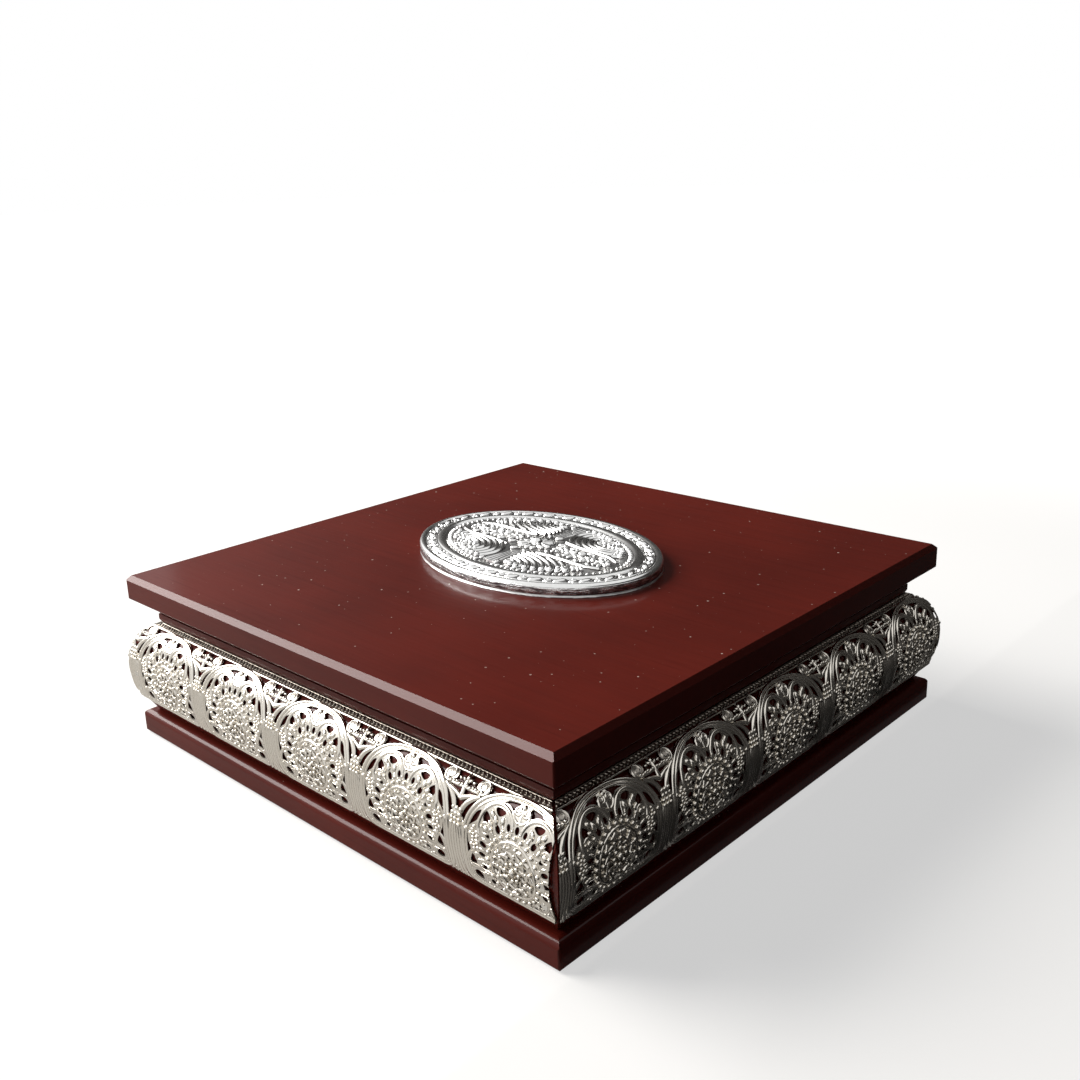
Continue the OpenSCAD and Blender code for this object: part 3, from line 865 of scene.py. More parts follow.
@dataclass
class StripPattern:
    """One repeat of the strip: an arch round a rosette, and the stem beside it. Y runs down the sheet."""

    pitch: float = 28.35
    arch_half: float = 12.1
    arch_rise: float = 10.8
    arch_spring: float = 13.0
    arch_foot: float = 19.6
    arch_power: float = 2.3
    corner: float = 2.3
    rose_y: float = 14.9
    rose_disc: float = 6.55
    rose_dome: float = 0.34
    dome_reach: float = 6.6
    border_depth: float = 1.75
    border_dull: float = 0.22
    volute_depth: float = 4.6
    volute_reach: float = 6.0
    volute_dull: float = 0.62

    def build(self) -> bmesh.types.BMesh:
        """Makes the repeat's flat mesh."""
        s = Stamping()
        self._border(s)
        self._arch(s)
        self._stem(s)
        self._spandrel(s)
        self._crown(s)
        self._web(s)
        self._rosette(s)
        self._skirt(s)
        bm = s.build(flatten=0.85, step=0.75)
        self._age(bm)
        return bm

    def _age(self, bm: bmesh.types.BMesh) -> None:
        """Domes the rosette's middle, paints shade on the border under the lid's overhang, and dulls the
        volutes, both by lowering the relief value.
        """
        relief = bm.verts.layers.float["relief"]
        for v in bm.verts:
            share = math.hypot(v.co.x, v.co.y - self.rose_y) / self.dome_reach
            if share < 1:
                v.co.z += self.rose_dome * (1 - share**2)
            # Painted shade: the border's relief value is lowered, so it renders darker, as in the shadow of
            # the lid's overhang.
            if v.co.y < self.border_depth:
                v[relief] *= self.border_dull
            elif v.co.y < self.volute_depth and abs(v.co.x) > self.pitch / 2 - self.volute_reach:
                v[relief] *= self.volute_dull

    def _round_rose(self, radius: float, count: int, turn: float = 0.0) -> list[Pair]:
        """That many points round the rosette's middle, turned by an angle in degrees."""
        return oval((0.0, self.rose_y), (radius, radius), count, turn)

    def _outline(self, out: float) -> list[Pair]:
        """The arch's closed outline.

        Args:
            out: How far it lies outside the middle line; inside if negative.

        Returns:
            Its points from the middle of its foot up the left leg, over the top and down the right leg.
        """
        a, b = self.arch_half + out, self.arch_rise + out
        top, steps = [], 48
        for i in range(steps + 1):
            t = math.pi * (1 - i / steps)
            c, s = math.cos(t), math.sin(t)
            x = math.copysign(abs(c) ** (2 / self.arch_power), c) * a
            top.append((x, self.arch_spring - abs(s) ** (2 / self.arch_power) * b))
        leg = self.arch_foot - self.arch_spring
        right = [(a, self.arch_spring + leg * i / 6) for i in range(1, 7)]
        corner = self.corner + out * 0.6
        flat = a - corner
        right += arc((flat, self.arch_foot), (corner, corner), 0, 90, 6)[1:]
        right += [(flat - flat * i / 8, self.arch_foot + corner) for i in range(1, 9)]
        return mirrored(right[-2::-1]) + top + right

    def _border(self, s: Stamping) -> None:
        """Plain edge, a row of small leaves and the bright line under them."""
        half = self.pitch / 2
        s.plate([(-half, 0.02), (half, 0.02), (half, 1.95), (-half, 1.95)], height=-0.03)
        for y, radius, height in ((0.28, 0.2, 0.08), (1.92, 0.24, 0.12)):
            s.wire([(-half + self.pitch * i / 8, y) for i in range(9)], radius, height)
        count = 27
        for i in range(count):
            x = -half + self.pitch * (i + 0.5) / count
            s.bead((x, 0.8), (0.5, 0.2, 0.3), 52 + 14 * math.sin(3.1 * i), 0.06)
            s.bead((x + 0.3, 1.32), (0.4, 0.2, 0.3), -40 + 20 * math.sin(1.7 * i), 0.06)

    def _holes(self) -> list[list[Pair]]:
        """Piercings inside the arch, those of the right half first."""
        half = [
            rounded([(1.3, 3.15), (3.0, 3.25), (4.9, 4.1), (3.3, 4.15), (2.1, 4.75), (1.6, 4.1)]),
            rounded([(3.3, 5.75), (4.2, 5.2), (5.6, 5.35), (5.35, 6.15), (4.45, 6.6)]),
            rounded([(7.6, 6.6), (6.3, 7.6), (7.2, 8.8), (8.0, 7.9)]),
            rounded(
                [(8.75, 6.9), (9.6, 7.4), (10.6, 8.9), (10.95, 10.3), (10.1, 9.6), (9.3, 8.9), (8.9, 7.9)]
            ),
            oval((4.2, 8.75), (0.55, 0.8), 10, 35),
            oval((1.95, 7.65), (0.42, 0.68), 10, 15),
            oval((6.5, 10.45), (0.85, 0.45), 10, -35),
            oval((7.2, 12.55), (0.85, 0.5), 10, -15),
            oval((7.45, 14.6), (0.82, 0.44), 10, 0),
            oval((7.05, 17.1), (0.7, 0.46), 10, 28),
            rounded([(9.9, 15.3), (10.75, 17.3), (9.9, 17.35), (9.0, 17.0)], 3),
            rounded([(11.0, 12.0), (11.3, 12.2), (11.35, 15.9), (10.9, 15.6), (10.3, 14.5), (10.8, 13.3)]),
            rounded([(8.35, 20.5), (8.2, 19.4), (9.2, 18.7), (10.2, 19.3), (9.8, 20.3)]),
            oval((5.7, 19.75), (0.62, 0.5), 10, 40),
            oval((4.1, 21.0), (0.45, 0.34), 8, 30),
            oval((1.5, 21.5), (0.3, 0.24), 8),
        ]
        return half + [mirrored(h) for h in half] + [oval((0.0, 7.5), (0.5, 0.72), 10)]

    def _arch(self, s: Stamping) -> None:
        """The arch's sheet with its piercings, and the double line round it."""
        s.plate(self._outline(0.35), self._holes())
        s.wire(self._outline(0.0), 0.4, 0.14, closed=True)
        s.wire(self._outline(-0.72), 0.27, 0.12, closed=True)

    def _stem(self, s: Stamping) -> None:
        """Fluted stem, its root, and the berries on its head."""
        mid = self.pitch / 2
        right = smooth([(1.55, 9.6), (1.9, 10.8), (2.0, 14.0), (2.1, 18.0), (2.7, 20.6), (4.2, 22.3)])
        s.plate(mirrored(right, 1, mid) + mirrored(right[::-1], -1, mid), height=0.02)
        for k in range(-2, 3):
            x = 0.72 * k
            line = smooth([(x * 0.75, 11.4), (x, 13.5), (x, 18.0), (x * 1.25, 20.2), (x * 1.9, 22.0)], 4)
            s.wire(mirrored(line, 1, mid), (0.27, 0.3), 0.16)
        for i, j in ((i, j) for i in (-1, 0, 1) for j in (-1, 0, 1, 2)):
            s.bead((mid + 0.92 * i, 9.85 + 0.92 * j - 0.46), 0.46, height=0.22)
        for k in (-1, 1):
            s.bead((mid + 2.6 * k, 11.1), 0.45, height=0.1)
            s.bead((mid + 1.95 * k, 10.3), 0.34, height=0.1)
        for i in range(9):
            s.bead((mid + (i - 4) * 0.72, 21.1 + 0.5 * (i % 2)), (0.26, 0.36, 0.3), height=0.1)

    def _spandrel(self, s: Stamping) -> None:
        """Forked trunk with volutes and a beaded bar between two arches."""
        mid = self.pitch / 2
        trunk = smooth([(0.5, 9.6), (0.95, 8.3), (1.7, 7.0), (2.9, 5.9), (4.3, 5.1)])
        twig = smooth([(0.0, 6.6), (0.8, 6.2), (1.9, 5.8), (3.2, 5.5)])
        bar = smooth([(0.0, 4.6), (2.0, 4.7), (4.4, 4.6)])
        volute = arc((4.15, 3.25), (1.5, 0.35), 100, -440, 30)
        for k in (-1, 1):
            s.wire(mirrored(trunk, k, mid), (0.55, 0.42), 0.1)
            s.wire(mirrored(twig, k, mid), (0.5, 0.36), 0.08)
            s.plate(mirrored(oval((4.15, 3.25), (1.6, 1.35), 18), k, mid), height=-0.02)
            s.wire(mirrored(volute, k, mid), (0.28, 0.17), 0.12)
            for i in range(6):
                s.bead((mid + k * (0.6 + 0.72 * i), 4.35 + 0.12 * math.sin(2 * i)), 0.39, height=0.14)
            s.wire(mirrored(bar, k, mid), 0.32, 0.0)
            s.bead((mid + 0.78 * k, 3.3), (0.34, 0.66, 0.36), 35 * k, 0.1)
            s.bead((mid + 1.7 * k, 3.4), (0.34, 0.5, 0.34), 55 * k, 0.06)
        s.wire([(mid, y) for y in (9.8, 9.0, 8.3)], (0.5, 0.42), 0.12)
        s.wire([(mid, y) for y in (6.7, 5.6, 4.6, 3.4, 2.0)], (0.46, 0.3), 0.08)
        s.bead((mid, 2.9), (0.42, 0.75, 0.42), height=0.12)

    def _crown(self, s: Stamping) -> None:
        """Leaves and curls between the rosette and the top of the arch."""
        s.bead((0.0, 3.55), (0.42, 0.62, 0.45), height=0.14)
        s.wire([(0.0, 2.7), (0.0, 4.0), (0.0, 5.2), (0.0, 6.3)], (0.22, 0.34), 0.08)
        loop = [(8.5, 11.0), (8.75, 9.8), (8.6, 8.3), (7.9, 6.5), (6.4, 5.05)]
        loop += [(4.6, 4.6), (2.9, 5.0), (1.75, 6.0), (1.15, 7.2)]
        wires = (
            (arc((0.95, 4.3), (0.85, 0.25), 160, -330, 18), (0.3, 0.2), 0.16),
            (smooth([(0.25, 6.4), (1.1, 6.0), (1.75, 5.1), (1.5, 4.2)]), (0.36, 0.22), 0.12),
            (smooth(loop, 5), 0.36, 0.14),
            (smooth([(1.15, 7.2), (1.0, 8.0), (1.1, 8.8)], 3), (0.34, 0.26), 0.1),
            (smooth([(2.7, 8.4), (2.7, 7.2), (3.0, 6.3)], 4), (0.3, 0.2), 0.1),
            (arc((7.1, 9.6), (1.0, 1.0), 60, 330, 12), 0.22, 0.08),
        )
        drops = [
            ((5.95, 6.75), (0.55, 0.85, 0.4), 40),
            ((3.45, 7.2), (0.5, 0.95, 0.42), -8),
            ((5.0, 7.5), (0.55, 1.05, 0.45), 12),
            ((6.0, 8.3), (0.45, 0.8, 0.38), 50),
            ((2.9, 8.6), 0.36, 0),
            ((5.6, 9.3), 0.42, 0),
            ((6.9, 9.6), (0.62, 0.62, 0.42), 0),
            ((7.9, 9.5), 0.34, 0),
            ((9.7, 10.2), (0.5, 0.36, 0.36), 40),
            ((11.35, 10.95), 0.45, 0),
        ]
        for cx, cy in ((9.5, 11.4), (9.2, 13.4)):
            angles = [math.radians(-60 + 70 * i) for i in range(5)]
            petals = [(cx + 0.85 * math.cos(a), cy + 0.72 * math.sin(a)) for a in angles]
            drops += [(petal, (0.46, 0.42, 0.36), 0) for petal in petals]
            drops.append(((cx, cy), (0.4, 0.36, 0.4), 0))
        leaves = ((8.7, 12.4, 0), (8.9, 14.9, 8), (9.6, 14.6, 60), (8.3, 16.0, 25), (8.5, 11.3, -20))
        drops += [((x, y), (0.62, 0.3, 0.32), turn) for x, y, turn in leaves]
        for k in (-1, 1):
            for line, radii, height in wires:
                s.wire(mirrored(line, k), radii, height)
            for (x, y), radii, turn in drops:
                s.bead((k * x, y), radii, turn * k, 0.12)

    def _web(self, s: Stamping) -> None:
        """Ribs and beads between the piercings round the rosette."""
        ribs = [(0.95, 7.9, 0), (3.05, 8.2, 22), (5.35, 9.7, 45), (6.9, 11.6, 68), (7.5, 13.6, 82)]
        ribs += [(7.5, 15.8, 98), (6.6, 18.4, 122), (4.9, 20.2, 140), (2.8, 21.3, 158)]
        for k in (-1, 1):
            for x, y, turn in ribs:
                s.bead((k * x, y), (0.26, 0.85, 0.3), turn * k, 0.06)
                s.bead((k * x, y), 0.3, height=0.12)
        count = 30
        for i, (x, y) in enumerate(self._round_rose(6.62, count)):
            if y < 21.4:
                s.bead((x, y), (0.2, 0.34, 0.24), 360 * i / count + 90, 0.0)

    def _rosette(self, s: Stamping) -> None:
        """Beaded disc with a ring of curled rays and a boss."""
        mid = (0.0, self.rose_y)
        s.plate(self._round_rose(self.rose_disc, 48), height=0.03)
        s.wire(self._round_rose(5.15, 44), 0.28, 0.12, closed=True)
        rays = 11
        for i in range(rays):
            line = []
            for t in (k / 6 for k in range(7)):
                angle = math.radians(360 * i / rays + 17 * math.sin(math.pi * 2 * t))
                r = 2.1 + 2.4 * t
                line.append((r * math.cos(angle), mid[1] + r * math.sin(angle)))
            s.wire(line, (0.24, 0.32), 0.12)
        between = 180 / rays
        rings = (
            (6.0, 24, 0.0, 0.46, 0.2),
            (4.35, rays, between, 0.4, 0.2),
            (3.3, rays, between, 0.34, 0.14),
            (1.6, 8, 0.0, 0.42, 0.14),
        )
        for radius, count, turn, bead, height in rings:
            for place in self._round_rose(radius, count, turn):
                s.bead(place, bead, height=height)
        s.bead(mid, (0.72, 0.72, 0.6), height=0.14)

    def _skirt(self, s: Stamping) -> None:
        """Ribs in the lower corners of the arch, and the scalloped foot."""
        lines = (
            smooth([(7.9, 15.9), (8.7, 17.7), (10.0, 18.2), (11.1, 17.6)], 4),
            smooth([(7.4, 18.4), (7.3, 19.8), (7.9, 21.2)], 4),
            smooth([(10.5, 18.4), (10.95, 19.6), (10.2, 21.0), (8.6, 21.3)], 4),
            smooth([(8.8, 15.0), (9.2, 15.6), (8.7, 16.6)], 4),
            smooth([(11.3, 16.2), (10.6, 15.3), (10.0, 14.8)], 4),
        )
        beads = ((7.9, 17.2), (6.9, 20.7), (10.8, 20.9), (8.9, 21.5), (10.6, 18.0), (6.0, 21.3))
        for k in (-1, 1):
            for line in lines:
                s.wire(mirrored(line, k), 0.25, 0.08)
            for place in mirrored(beads, k):
                s.bead(place, 0.32, height=0.08)
        for i in range(24):
            x = -self.pitch / 2 + self.pitch * (i + 0.5) / 24
            s.bead((x, 22.1), (0.5, 0.28, 0.3), 0, 0.02)


@dataclass
class PiercedStrip:
    """A strip of stamped metal bent over one bulging wall."""

    side: Side
    stem_start: float
    pattern: StripPattern
    profile: BulgeProfile
    half_length: float = 69.9
    end_gap: float = 0.4
    straight_end: float | None = None

    def build(self, repeat: bpy.types.Mesh, material: bpy.types.Material) -> bpy.types.Object:
        """Lays the repeats end to end, bends them over the wall and cuts both ends along the mitres.

        Args:
            repeat: The pattern's flat mesh.
            material: The strip's finish.

        Returns:
            The piece.
        """
        bm = bmesh.new()
        pitch = self.pattern.pitch
        for i in range(-1, 5):
            middle = self.stem_start - self.half_length + (i + 0.5) * pitch
            lay(bm, repeat, Matrix.Translation((middle, 0.0, 0.0)))
        for v in bm.verts:
            d, z = self.profile.place(max(0.0, v.co.y), v.co.z)
            v.co = (v.co.x, -d, z)
        bmesh.ops.reverse_faces(bm, faces=bm.faces)
        cuts = [((0.0, -self.end_gap, 0.0), (end, 1.0, 0.0)) for end in (-1, 1)]
        if self.straight_end is not None:
            cuts.append(((self.straight_end, 0.0, 0.0), (1.0, 0.0, 0.0)))
        for place, normal in cuts:
            bmesh.ops.edgeloop_fill(bm, edges=cut_by(bm, place, normal, clear=True))
        bmesh.ops.transform(bm, matrix=self.side.turn, verts=bm.verts)
        label = self.side.label
        return hand_over(bm, f"{label}_strip", material, Body.BOX, [f"{label}_band"])


@dataclass
class Strips:
    """The four strips, stamped from one pattern."""

    stem_start_front: float = 2.5
    stem_start_side: float = 0.9
    short_end: float = 68.3

    def build(self) -> None:
        """Builds the strips."""
        pattern = StripPattern()
        repeat = as_mesh(pattern.build(), "repeat")
        silver = WornSilver("band_silver").build()
        for side in Side:
            start = self.stem_start_front if side in (Side.FRONT, Side.BACK) else self.stem_start_side
            end = self.short_end if side is Side.FRONT else None
            PiercedStrip(side, start, pattern, BulgeProfile(), straight_end=end).build(repeat, silver)
        bpy.data.meshes.remove(repeat)


# ---------------------------------------------------------------- medallion


@dataclass
class Medallion:
    """Stamped oval on the lid: a rim, a ring of leaves, and a field of four fluted fans."""

    centre: Pair = (-1.2, 2.9)
    turn: float = -4.0
    half: Pair = (33.9, 24.5)
    foot: float = 41.0
    rise: float = 0.4
    roof_inset: float = 0.5
    roof: float = 2.1
    segments: int = 144
    field: Pair = (26.9, 17.5)
    field_crest: float = 0.28
    column_half: float = 2.9
    crest: Colour = (0.78, 0.78, 0.77)
    hollow: Colour = (0.26, 0.25, 0.245)

    # Inset from the outline, height over the lid, and crest, from the hollow's roof to the field.
    PROFILE = (
        (0.5, 0.0, 0.3), (0.0, 0.0, 0.3), (0.0, 0.35, 0.3), (0.12, 0.5, 0.2), (0.02, 0.7, 0.6),
        (0.02, 1.95, 0.6), (0.16, 2.3, 0.9), (0.5, 2.58, 1.0), (0.95, 2.66, 1.0), (1.4, 2.55, 0.8),
        (1.75, 2.28, 0.1), (2.0, 2.2, 0.1), (3.0, 2.26, 0.2), (4.0, 2.2, 0.1), (4.25, 2.3, 0.1),
        (4.6, 2.6, 0.8), (5.2, 2.78, 1.0), (5.9, 2.78, 1.0), (6.5, 2.58, 0.8), (6.85, 2.3, 0.3),
        (7.1, 2.22, 0.28),
    )
    # Size as a share of the field, and rise from the ring before.
    DOME = ((0.8, 0.1), (0.55, 0.12), (0.3, 0.08), (0.1, 0.02))

    def build(self) -> bpy.types.Object:
        """Builds the medallion's stamped sheet.

        Returns:
            The piece.
        """
        bm = self._body()
        take_in(bm, as_mesh(self._face(), "face"))
        turned = Matrix.Rotation(math.radians(self.turn), 4, "Z")
        bmesh.ops.transform(bm, matrix=Matrix.Translation((*self.centre, self.foot)) @ turned, verts=bm.verts)
        silver = WornSilver("medallion_silver", crest=self.crest, hollow=self.hollow, brushed=True).build()
        return hand_over(bm, "medallion_sheet", silver, Body.LID, ["medallion_shell"])

    def _body(self) -> bmesh.types.BMesh:
        """The sheet without its fine relief, from the roof of its hollow round its foot to the field."""
        bm = bmesh.new()
        bm.verts.layers.float.new("relief")
        inset, height = self.roof_inset, self.roof + self.rise
        made = bmesh.ops.create_circle(bm, cap_ends=True, segments=self.segments, radius=1.0)
        bmesh.ops.scale(bm, vec=(self.half[0] - inset, self.half[1] - inset, 1.0), verts=made["verts"])
        bmesh.ops.translate(bm, vec=(0, 0, height), verts=made["verts"])
        edges = [e for e in bm.edges if e.is_boundary]
        for new_inset, new_height, crest in self.PROFILE:
            new_height += self.rise if new_height > 1.0 else 0.0
            factors = [(h - new_inset) / (h - inset) for h in self.half]
            edges = self._next_ring(bm, edges, factors, new_height - height, crest)
            inset, height = new_inset, new_height
        share = 1.0
        for new_share, rise in self.DOME:
            edges = self._next_ring(bm, edges, [new_share / share] * 2, rise, self.field_crest)
            share = new_share
        bmesh.ops.edgeloop_fill(bm, edges=edges)
        bmesh.ops.recalc_face_normals(bm, faces=bm.faces)
        return bm

    @staticmethod
    def _next_ring(
        bm: bmesh.types.BMesh,
        edges: Sequence[bmesh.types.BMEdge],
        factors: Sequence[float],
        rise: float,
        crest: float,
    ) -> list[bmesh.types.BMEdge]:
        """Extrudes a ring of edges, scales and lifts it.

        Args:
            bm: The mesh.
            edges: The ring.
            factors: Scale along X and Y.
            rise: How much higher it lies.
            crest: Its relief value.

        Returns:
            The new ring.
        """
        relief = bm.verts.layers.float["relief"]
        made = bmesh.ops.extrude_edge_only(bm, edges=edges)["geom"]
        verts = [g for g in made if isinstance(g, bmesh.types.BMVert)]
        bmesh.ops.scale(bm, vec=(*factors, 1.0), verts=verts)
        bmesh.ops.translate(bm, vec=(0, 0, rise), verts=verts)
        for v in verts:
            v[relief] = crest
        return [g for g in made if isinstance(g, bmesh.types.BMEdge)]

    def _ring(self, inset: float, count: int, shift: float = 0.0) -> list[tuple[Pair, float]]:
        """Evenly spread places on an inner oval.

        Args:
            inset: Its distance inside the outline.
            count: Number of places.
            shift: Shift along the oval, in places.

        Returns:
            Each place with the oval's direction there, in degrees.
        """
        fine = oval((0.0, 0.0), (self.half[0] - inset, self.half[1] - inset), 720)
        fine.append(fine[0])
        run = [0.0]
        for p, q in zip(fine, fine[1:]):
            run.append(run[-1] + math.dist(p, q))
        made = []
        for i in range(count):
            goal = run[-1] * ((i + shift) % count) / count
            k = next(j for j, far in enumerate(run[1:]) if far >= goal)
            p, q = fine[k], fine[k + 1]
            made.append((p, math.degrees(math.atan2(q[1] - p[1], q[0] - p[0]))))
        return made

    def _face(self) -> bmesh.types.BMesh:
        """The fine relief: leaves on the ring, four fans, two columns and a row of flowers."""
        s = Stamping()
        self._leaf_ring(s)
        self._rope(s)
        for k in (-1, 1):
            self._shell(s, k)
            self._wreath(s, k)
            self._column(s, k)
            self._row(s, k)
        self._flower(s, (0.0, 0.0), 4.4, 12, 0.0)
        self._flower(s, (0.0, 0.0), 2.3, 8, 10.0)
        bm = s.build(flatten=0.8, bead_steps=10)
        for v in bm.verts:
            dome = 0.32 * (1 - min(1.0, self._share(v.co.x, v.co.y)) ** 2)
            v.co.z += self.PROFILE[-1][1] + dome + self.rise + 0.05
        return bm

    def _leaf_ring(self, s: Stamping) -> None:
        """Slanting leaves and beads between the two smooth rings."""
        for place, along in self._ring(3.1, 29):
            s.bead(place, (1.9, 0.8, 0.6), along + 26, 0.1)
        for place, along in self._ring(3.1, 29, 0.5):
            s.bead(place, (1.3, 0.55, 0.5), along + 26, 0.05)
            normal = math.radians(along + 90)
            for k in (-1, 1):
                x, y = place[0] + k * 0.85 * math.cos(normal), place[1] + k * 0.85 * math.sin(normal)
                s.bead((x, y), 0.42, height=0.05)
        for inset in (1.95, 4.25):
            s.wire([p for p, _ in self._ring(inset, 110)], 0.22, 0.1, closed=True)

    def _rope(self, s: Stamping) -> None:
        """A line of small slanting leaves just inside the inner smooth ring."""
        for place, along in self._ring(7.7, 92):
            if abs(place[0]) > 2.6:
                s.bead(place, (0.72, 0.36, 0.4), along + 50, 0.05)

    def _share(self, x: float, y: float) -> float:
        """How far out a point lies, as a share of the field."""
        return math.hypot(x / self.field[0], y / self.field[1])

    def _flutes(self, s: Stamping, hub: Pair, radii: Sequence[Pair], sweep: Pair, keep_y: float) -> None:
        """Nested flutes that end in beads, kept off the columns and the row of flowers.

        Args:
            s: Where they are drawn.
            hub: The point that they curve round.
            radii: Each flute's radii along X and Y.
            sweep: Start and end angle in degrees.
            keep_y: Least distance from the middle line along X.
        """
        steps = 48
        for rx, ry in radii:
            line: list[Pair] = []
            for i in range(steps + 1):
                t = math.radians(sweep[0] + (sweep[1] - sweep[0]) * i / steps)
                point = (hub[0] + rx * math.cos(t), hub[1] + ry * math.sin(t))
                clear = abs(point[0]) > self.column_half and abs(point[1]) > keep_y
                if i < steps and clear and self._share(*point) < 0.9:
                    line.append(point)
                    continue
                if len(line) > 3:
                    s.wire(line, 0.62, 0.1)
                    for end in (line[0], line[-1]):
                        if self._share(*end) >= 0.8:
                            s.bead(end, 0.8, height=0.2)
                line = []

    def _shell(self, s: Stamping, k: int) -> None:
        """Shell of flutes beside the column, at the upper left or, turned over, at the lower right.

        Args:
            s: Where it is drawn.
            k: 1 for the upper left, -1 for the lower right.
        """
        turned = 0 if k > 0 else 180
        radii = [(2.0 + 2.05 * i, 1.5 + 1.2 * i) for i in range(8)]
        self._flutes(s, (-4.6 * k, 13.8 * k), radii, (150 + turned, 308 + turned), 5.6)
        s.bead((-4.6 * k, 13.6 * k), (1.3, 0.9, 0.6), 20, 0.15)
        for x, y in ((-17.5, 8.6), (-20.0, 6.4), (-15.0, 11.2)):
            self._flower(s, (x * k, y * k), 1.5, 6, 20.0)

    def _wreath(self, s: Stamping, k: int) -> None:
        """Flutes round a cluster of leaves, at the upper right or, turned over, at the lower left.

        Args:
            s: Where it is drawn.
            k: 1 for the upper right, -1 for the lower left.
        """
        turned = 0 if k > 0 else 180
        radii = [(4.6 + 1.75 * i, 3.3 + 1.15 * i) for i in range(5)]
        self._flutes(s, (14.6 * k, 11.0 * k), radii, (130 + turned, 352 + turned), 5.0)
        flowers = ((12.6, 10.4, 1.9), (16.4, 9.3, 1.8), (9.6, 12.9, 1.5), (19.4, 7.4, 1.5), (14.2, 12.6, 1.2))
        for x, y, size in flowers:
            self._flower(s, (x * k, y * k), size, 7, 12.0 * x)

    def _column(self, s: Stamping, k: int) -> None:
        """Dull fluted column between two fans.

        Args:
            s: Where it is drawn.
            k: 1 for the upper one, -1 for the lower one.
        """
        for i in (-1.5, -0.5, 0.5, 1.5):
            edge = ((1.25, 15.6), (0.95, 12.4), (0.7, 9.0), (0.95, 6.4))
            s.wire(smooth([(x * i, y * k) for x, y in edge], 4), (0.72, 0.5), -0.28)
        for i in (-1, 1):
            s.bead((1.7 * i, 5.9 * k), (1.2, 0.6, 0.5), 40 * i * k, 0.15)
            s.bead((2.6 * i, 15.2 * k), (0.6, 1.0, 0.5), 0, 0.1)

    def _row(self, s: Stamping, k: int) -> None:
        """Flowers, leaves and two smooth bands on one side of the middle.

        Args:
            s: Where they are drawn.
            k: Side along X.
        """
        for j in (-1, 1):
            band = smooth([(5.2, 5.0), (9.5, 4.4), (15.0, 4.3), (20.0, 4.1), (23.6, 2.9)], 5)
            s.wire([(x * k, y * j) for x, y in band], (0.62, 0.5), 0.12)
        for x, size, petals in ((7.9, 1.9, 7), (12.8, 2.7, 9), (17.6, 1.9, 7), (21.6, 2.1, 8)):
            self._flower(s, (x * k, 0.35 * math.sin(x)), size, petals, 9.0 * x)
        for x in (6.0, 10.0, 15.6, 19.4):
            for j in (-1, 1):
                s.bead((x * k, 2.7 * j), (1.15, 0.55, 0.5), 35 * j * k, 0.12)
                s.bead(((x + 1.4) * k, 2.2 * j), 0.42, height=0.2)

    @staticmethod
    def _flower(s: Stamping, place: Pair, size: float, petals: int, turn: float) -> None:
        """A flower of pointed petals round a bead.

        Args:
            s: Where it is drawn.
            place: Its middle.
            size: Its radius.
            petals: Number of petals.
            turn: Its turn in degrees.
        """
        for i in range(petals):
            a = 360 * i / petals + turn
            c, n = math.cos(math.radians(a)), math.sin(math.radians(a))
            out = size * (0.68 + 0.08 * math.sin(5 * a))
            tilt = 14 if i % 2 else -10
            place_i = (place[0] + out * c, place[1] + out * n)
            s.bead(place_i, (0.42 * size, max(0.3, 0.2 * size), 0.55), a + tilt, 0.05 + 0.1 * (i % 2))
        s.bead(place, 0.32 * size, height=0.25)


# ---------------------------------------------------------------- inside and underside


